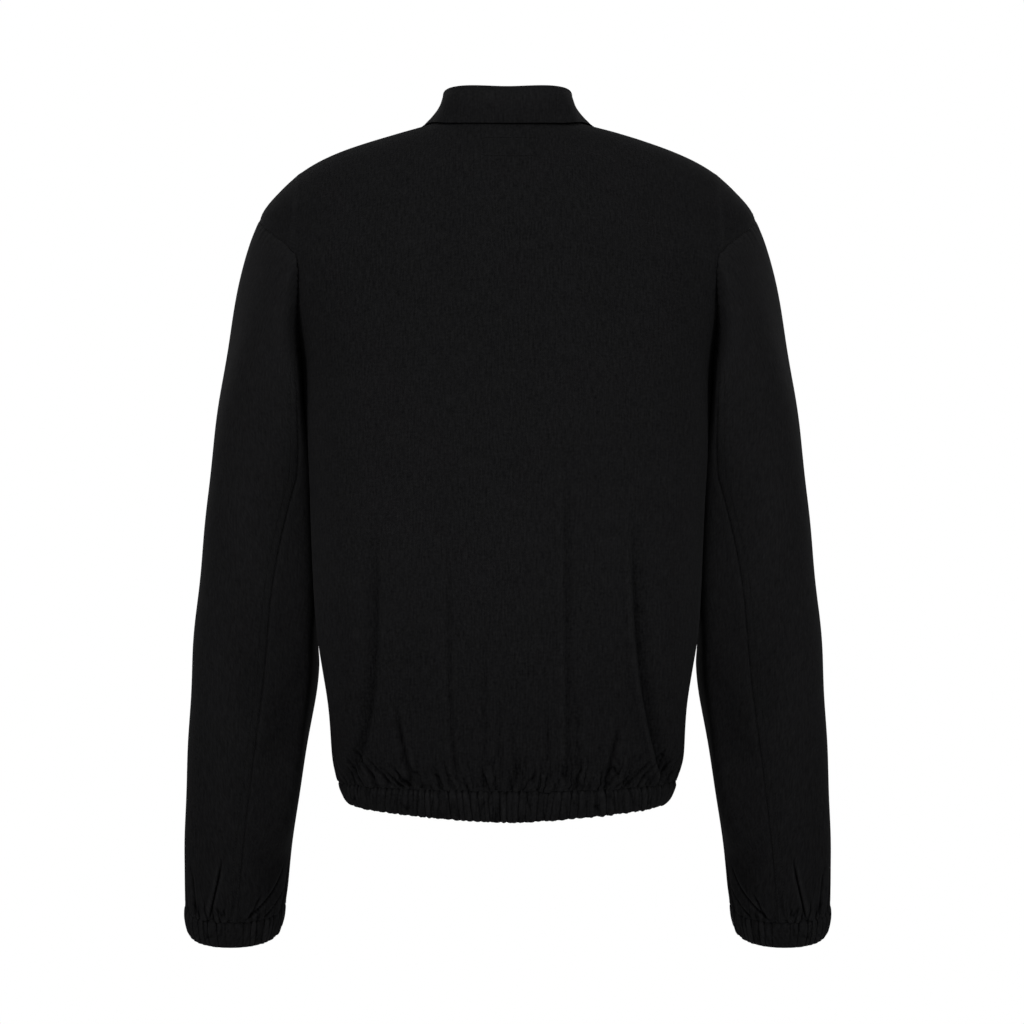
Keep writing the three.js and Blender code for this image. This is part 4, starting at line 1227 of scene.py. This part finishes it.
def column_line(sheet, away):
    """A line that keeps a distance from the first column, or from the last where it is negative."""
    return sheet.at(np.arange(len(sheet.points), dtype=float), numbers_at(sheet.from_first(), away))


def row_line(sheet, away):
    """A line that keeps a distance from the first row, or from the last where it is negative."""
    return sheet.at(numbers_at(sheet.down.T, away), np.arange(sheet.points.shape[1], dtype=float))


def place_on(sheet, x, z):
    """Broken row and column numbers of places on a body panel, given by x and height: the row is
    read off at the middle column, and then the column along each row."""
    middle_column = sheet.points.shape[1] // 2
    heights = sheet.points[:, middle_column, 2]
    rows = np.interp(z, heights, np.arange(len(heights)))
    numbers = np.arange(sheet.points.shape[1], dtype=float)
    order = 1 if sheet.points[0, -1, 0] > sheet.points[0, 0, 0] else -1
    picked = sheet.points[rows.astype(int), ::order, 0]
    return rows, np.array([np.interp(at, row, numbers[::order]) for at, row in zip(x, picked)])


def stitched_box(sheet, left, right, top, bottom):
    """Four lines of stitches on a panel, round a rectangle."""
    corners = np.array([[left, top], [right, top], [right, bottom], [left, bottom], [left, top]], float)
    lines = []
    for start, end in zip(corners[:-1], corners[1:]):
        walk = start + (end - start) * np.linspace(0, 1, 24)[:, None]
        lines.append(sheet.at(*place_on(sheet, walk[:, 0], walk[:, 1])))
    return lines


def snap_object(name, seat, normal, material):
    """A pressed cap: a profile of radius and height turned about the outward direction of the cloth,
    with a rolled rim and a shallow dish in the middle."""
    profile, sides = SNAP_RADIUS * SNAP_PROFILE, 48
    turn = 2 * np.pi * np.arange(sides) / sides
    up = unit(normal)
    aside = unit(np.cross(up, [0, 0, 1]))
    other = np.cross(up, aside)
    ring = np.cos(turn)[:, None] * aside + np.sin(turn)[:, None] * other
    grid = seat + profile[1:-1, 0][:, None, None] * ring + profile[1:-1, 1][:, None, None] * up
    rows = len(grid)
    corners = np.concatenate([grid.reshape(-1, 3), [seat, seat + up * profile[-1, 1]]])
    i, j = np.meshgrid(np.arange(rows - 1), np.arange(sides), indexing="ij")
    number = lambda i, j: i * sides + j % sides
    faces = np.stack([number(i + down, j + on) for down, on in FACE_CORNERS], -1).reshape(-1, 4)
    triangles = np.concatenate([faces[:, [0, 1, 2]], faces[:, [0, 2, 3]]])
    j = np.arange(sides)
    bottom = np.stack([np.full(sides, rows * sides), number(0, j + 1), number(0, j)], -1)
    top = np.stack([np.full(sides, rows * sides + 1), number(rows - 1, j), number(rows - 1, j + 1)], -1)
    mesh = mesh_from(name, corners, np.concatenate([triangles, bottom, top]), material)
    return place_piece(name, mesh)


# ---------------------------------------------------------------- the jacket


def made_sheets():
    """Each node's sheet, its thickness, the name of its cut and the sheets that it rests on."""
    sheets = {
        "back": (back_sheet(), CLOTH, "back", []),
        "front_left": (front_sheet(FRONT_LEFT_FOLDS, LAP_STEP, 80), CLOTH, "front", []),
        "front_right": (front_sheet(FRONT_RIGHT_FOLDS, -LAP_STEP, 90).mirrored(), CLOTH, "front", []),
        "hem_band": (band_sheet(), DOUBLE, "hem_band", ["back"]),
        "sleeve_left_top": (sleeve_sheet("top", 180, 215), CLOTH, "top", ["back"]),
        "sleeve_left_under": (sleeve_sheet("under", 112, 140), CLOTH, "under", ["back"]),
        "cuff_left": (cuff_sheet(), DOUBLE, "cuff", ["sleeve_left_top"]),
        "collar_stand": (stand_sheet(), DOUBLE, "collar_stand", ["back"]),
        "collar_fall": (fall_sheet(), DOUBLE, "collar_fall", ["collar_stand"]),
    }
    for node in ("sleeve_left_top", "sleeve_left_under", "cuff_left"):
        sheet, thick, cut, rests = sheets[node]
        rests = [name.replace("left", "right") for name in rests]
        sheets[node.replace("left", "right")] = (sheet.mirrored(), thick, cut, rests)
    return sheets


def sew(grid, sewing):
    """Stitches beside the seams and the edges, and round the rectangle under the neck."""
    back = grid["back"]
    stitch_object("stitches_back", [
        column_line(back, SEAM_STITCH), column_line(back, -SEAM_STITCH),
        row_line(back, SEAM_STITCH),
    ], sewing)
    stitch_object("stitches_neck", stitched_box(back, *NECK_BOX), sewing, pitch=2.6, length=2.0, thick=0.55)
    for side in ("left", "right"):
        front = grid[f"front_{side}"]
        stitch_object(f"stitches_front_{side}", [
            column_line(front, -LAP_STITCH), column_line(front, -FACING_STITCH),
            row_line(front, SEAM_STITCH),
        ], sewing)
        top, under = grid[f"sleeve_{side}_top"], grid[f"sleeve_{side}_under"]
        stitch_object(f"stitches_sleeve_{side}", [
            *(column_line(top, -away) for away in SLEEVE_STITCHES),
            row_line(top, -SEAM_STITCH), row_line(under, -SEAM_STITCH),
        ], sewing)
    stitch_object("stitches_collar", [row_line(grid["collar_fall"], -FALL_STITCH)], sewing, sit=1.1)


def fasten(front, enamel):
    """The snap caps down the left front, each where the cloth passes closest to its place."""
    for i in range(SNAP_COUNT):
        height = FIRST_SNAP + i * SNAP_STEP
        away = np.abs(front.points[..., 0]) + np.abs(front.points[..., 2] - height)
        row, column = np.unravel_index(np.argmin(away), away.shape)
        normal = front.normals[row, column]
        seat = front.points[row, column] + normal * (CLOTH / 2 + 0.1)
        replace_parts(snap_object(f"snap_cap_{i + 1}", seat, normal, enamel), f"snap_{i + 1}")


def build():
    twill, sewing, enamel = shell_twill(), thread(), snap_enamel()
    grid = {}
    for node, (sheet, thick, cut, rests) in made_sheets().items():
        grid[node] = sheet
        piece = cloth_object(f"{node}_cloth", sheet, thick, twill)
        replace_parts(piece, node)
    sew(grid, sewing)
    fasten(grid["front_left"], enamel)


def floor():
    """A round floor well below the cuffs: rings of corners about the middle."""
    level, radii, sides = -1.45, np.array([[0.01], [0.8], [1.6], [2.4]]), 64
    turn = 2 * np.pi * np.arange(sides) / sides
    grid = np.stack(np.broadcast_arrays(radii * np.cos(turn), radii * np.sin(turn), level), -1)
    i, j = np.meshgrid(np.arange(len(radii) - 1), np.arange(sides), indexing="ij")
    number = lambda i, j: i * sides + j % sides
    faces = np.stack([number(i + on, j + down) for down, on in FACE_CORNERS], -1).reshape(-1, 4)
    mesh = mesh_from("floor", grid.reshape(-1, 3) / MM, faces, floor_paint())
    stage = bpy.data.objects.new("floor", mesh)
    bpy.context.collection.objects.link(stage)


studio()
floor()
build()
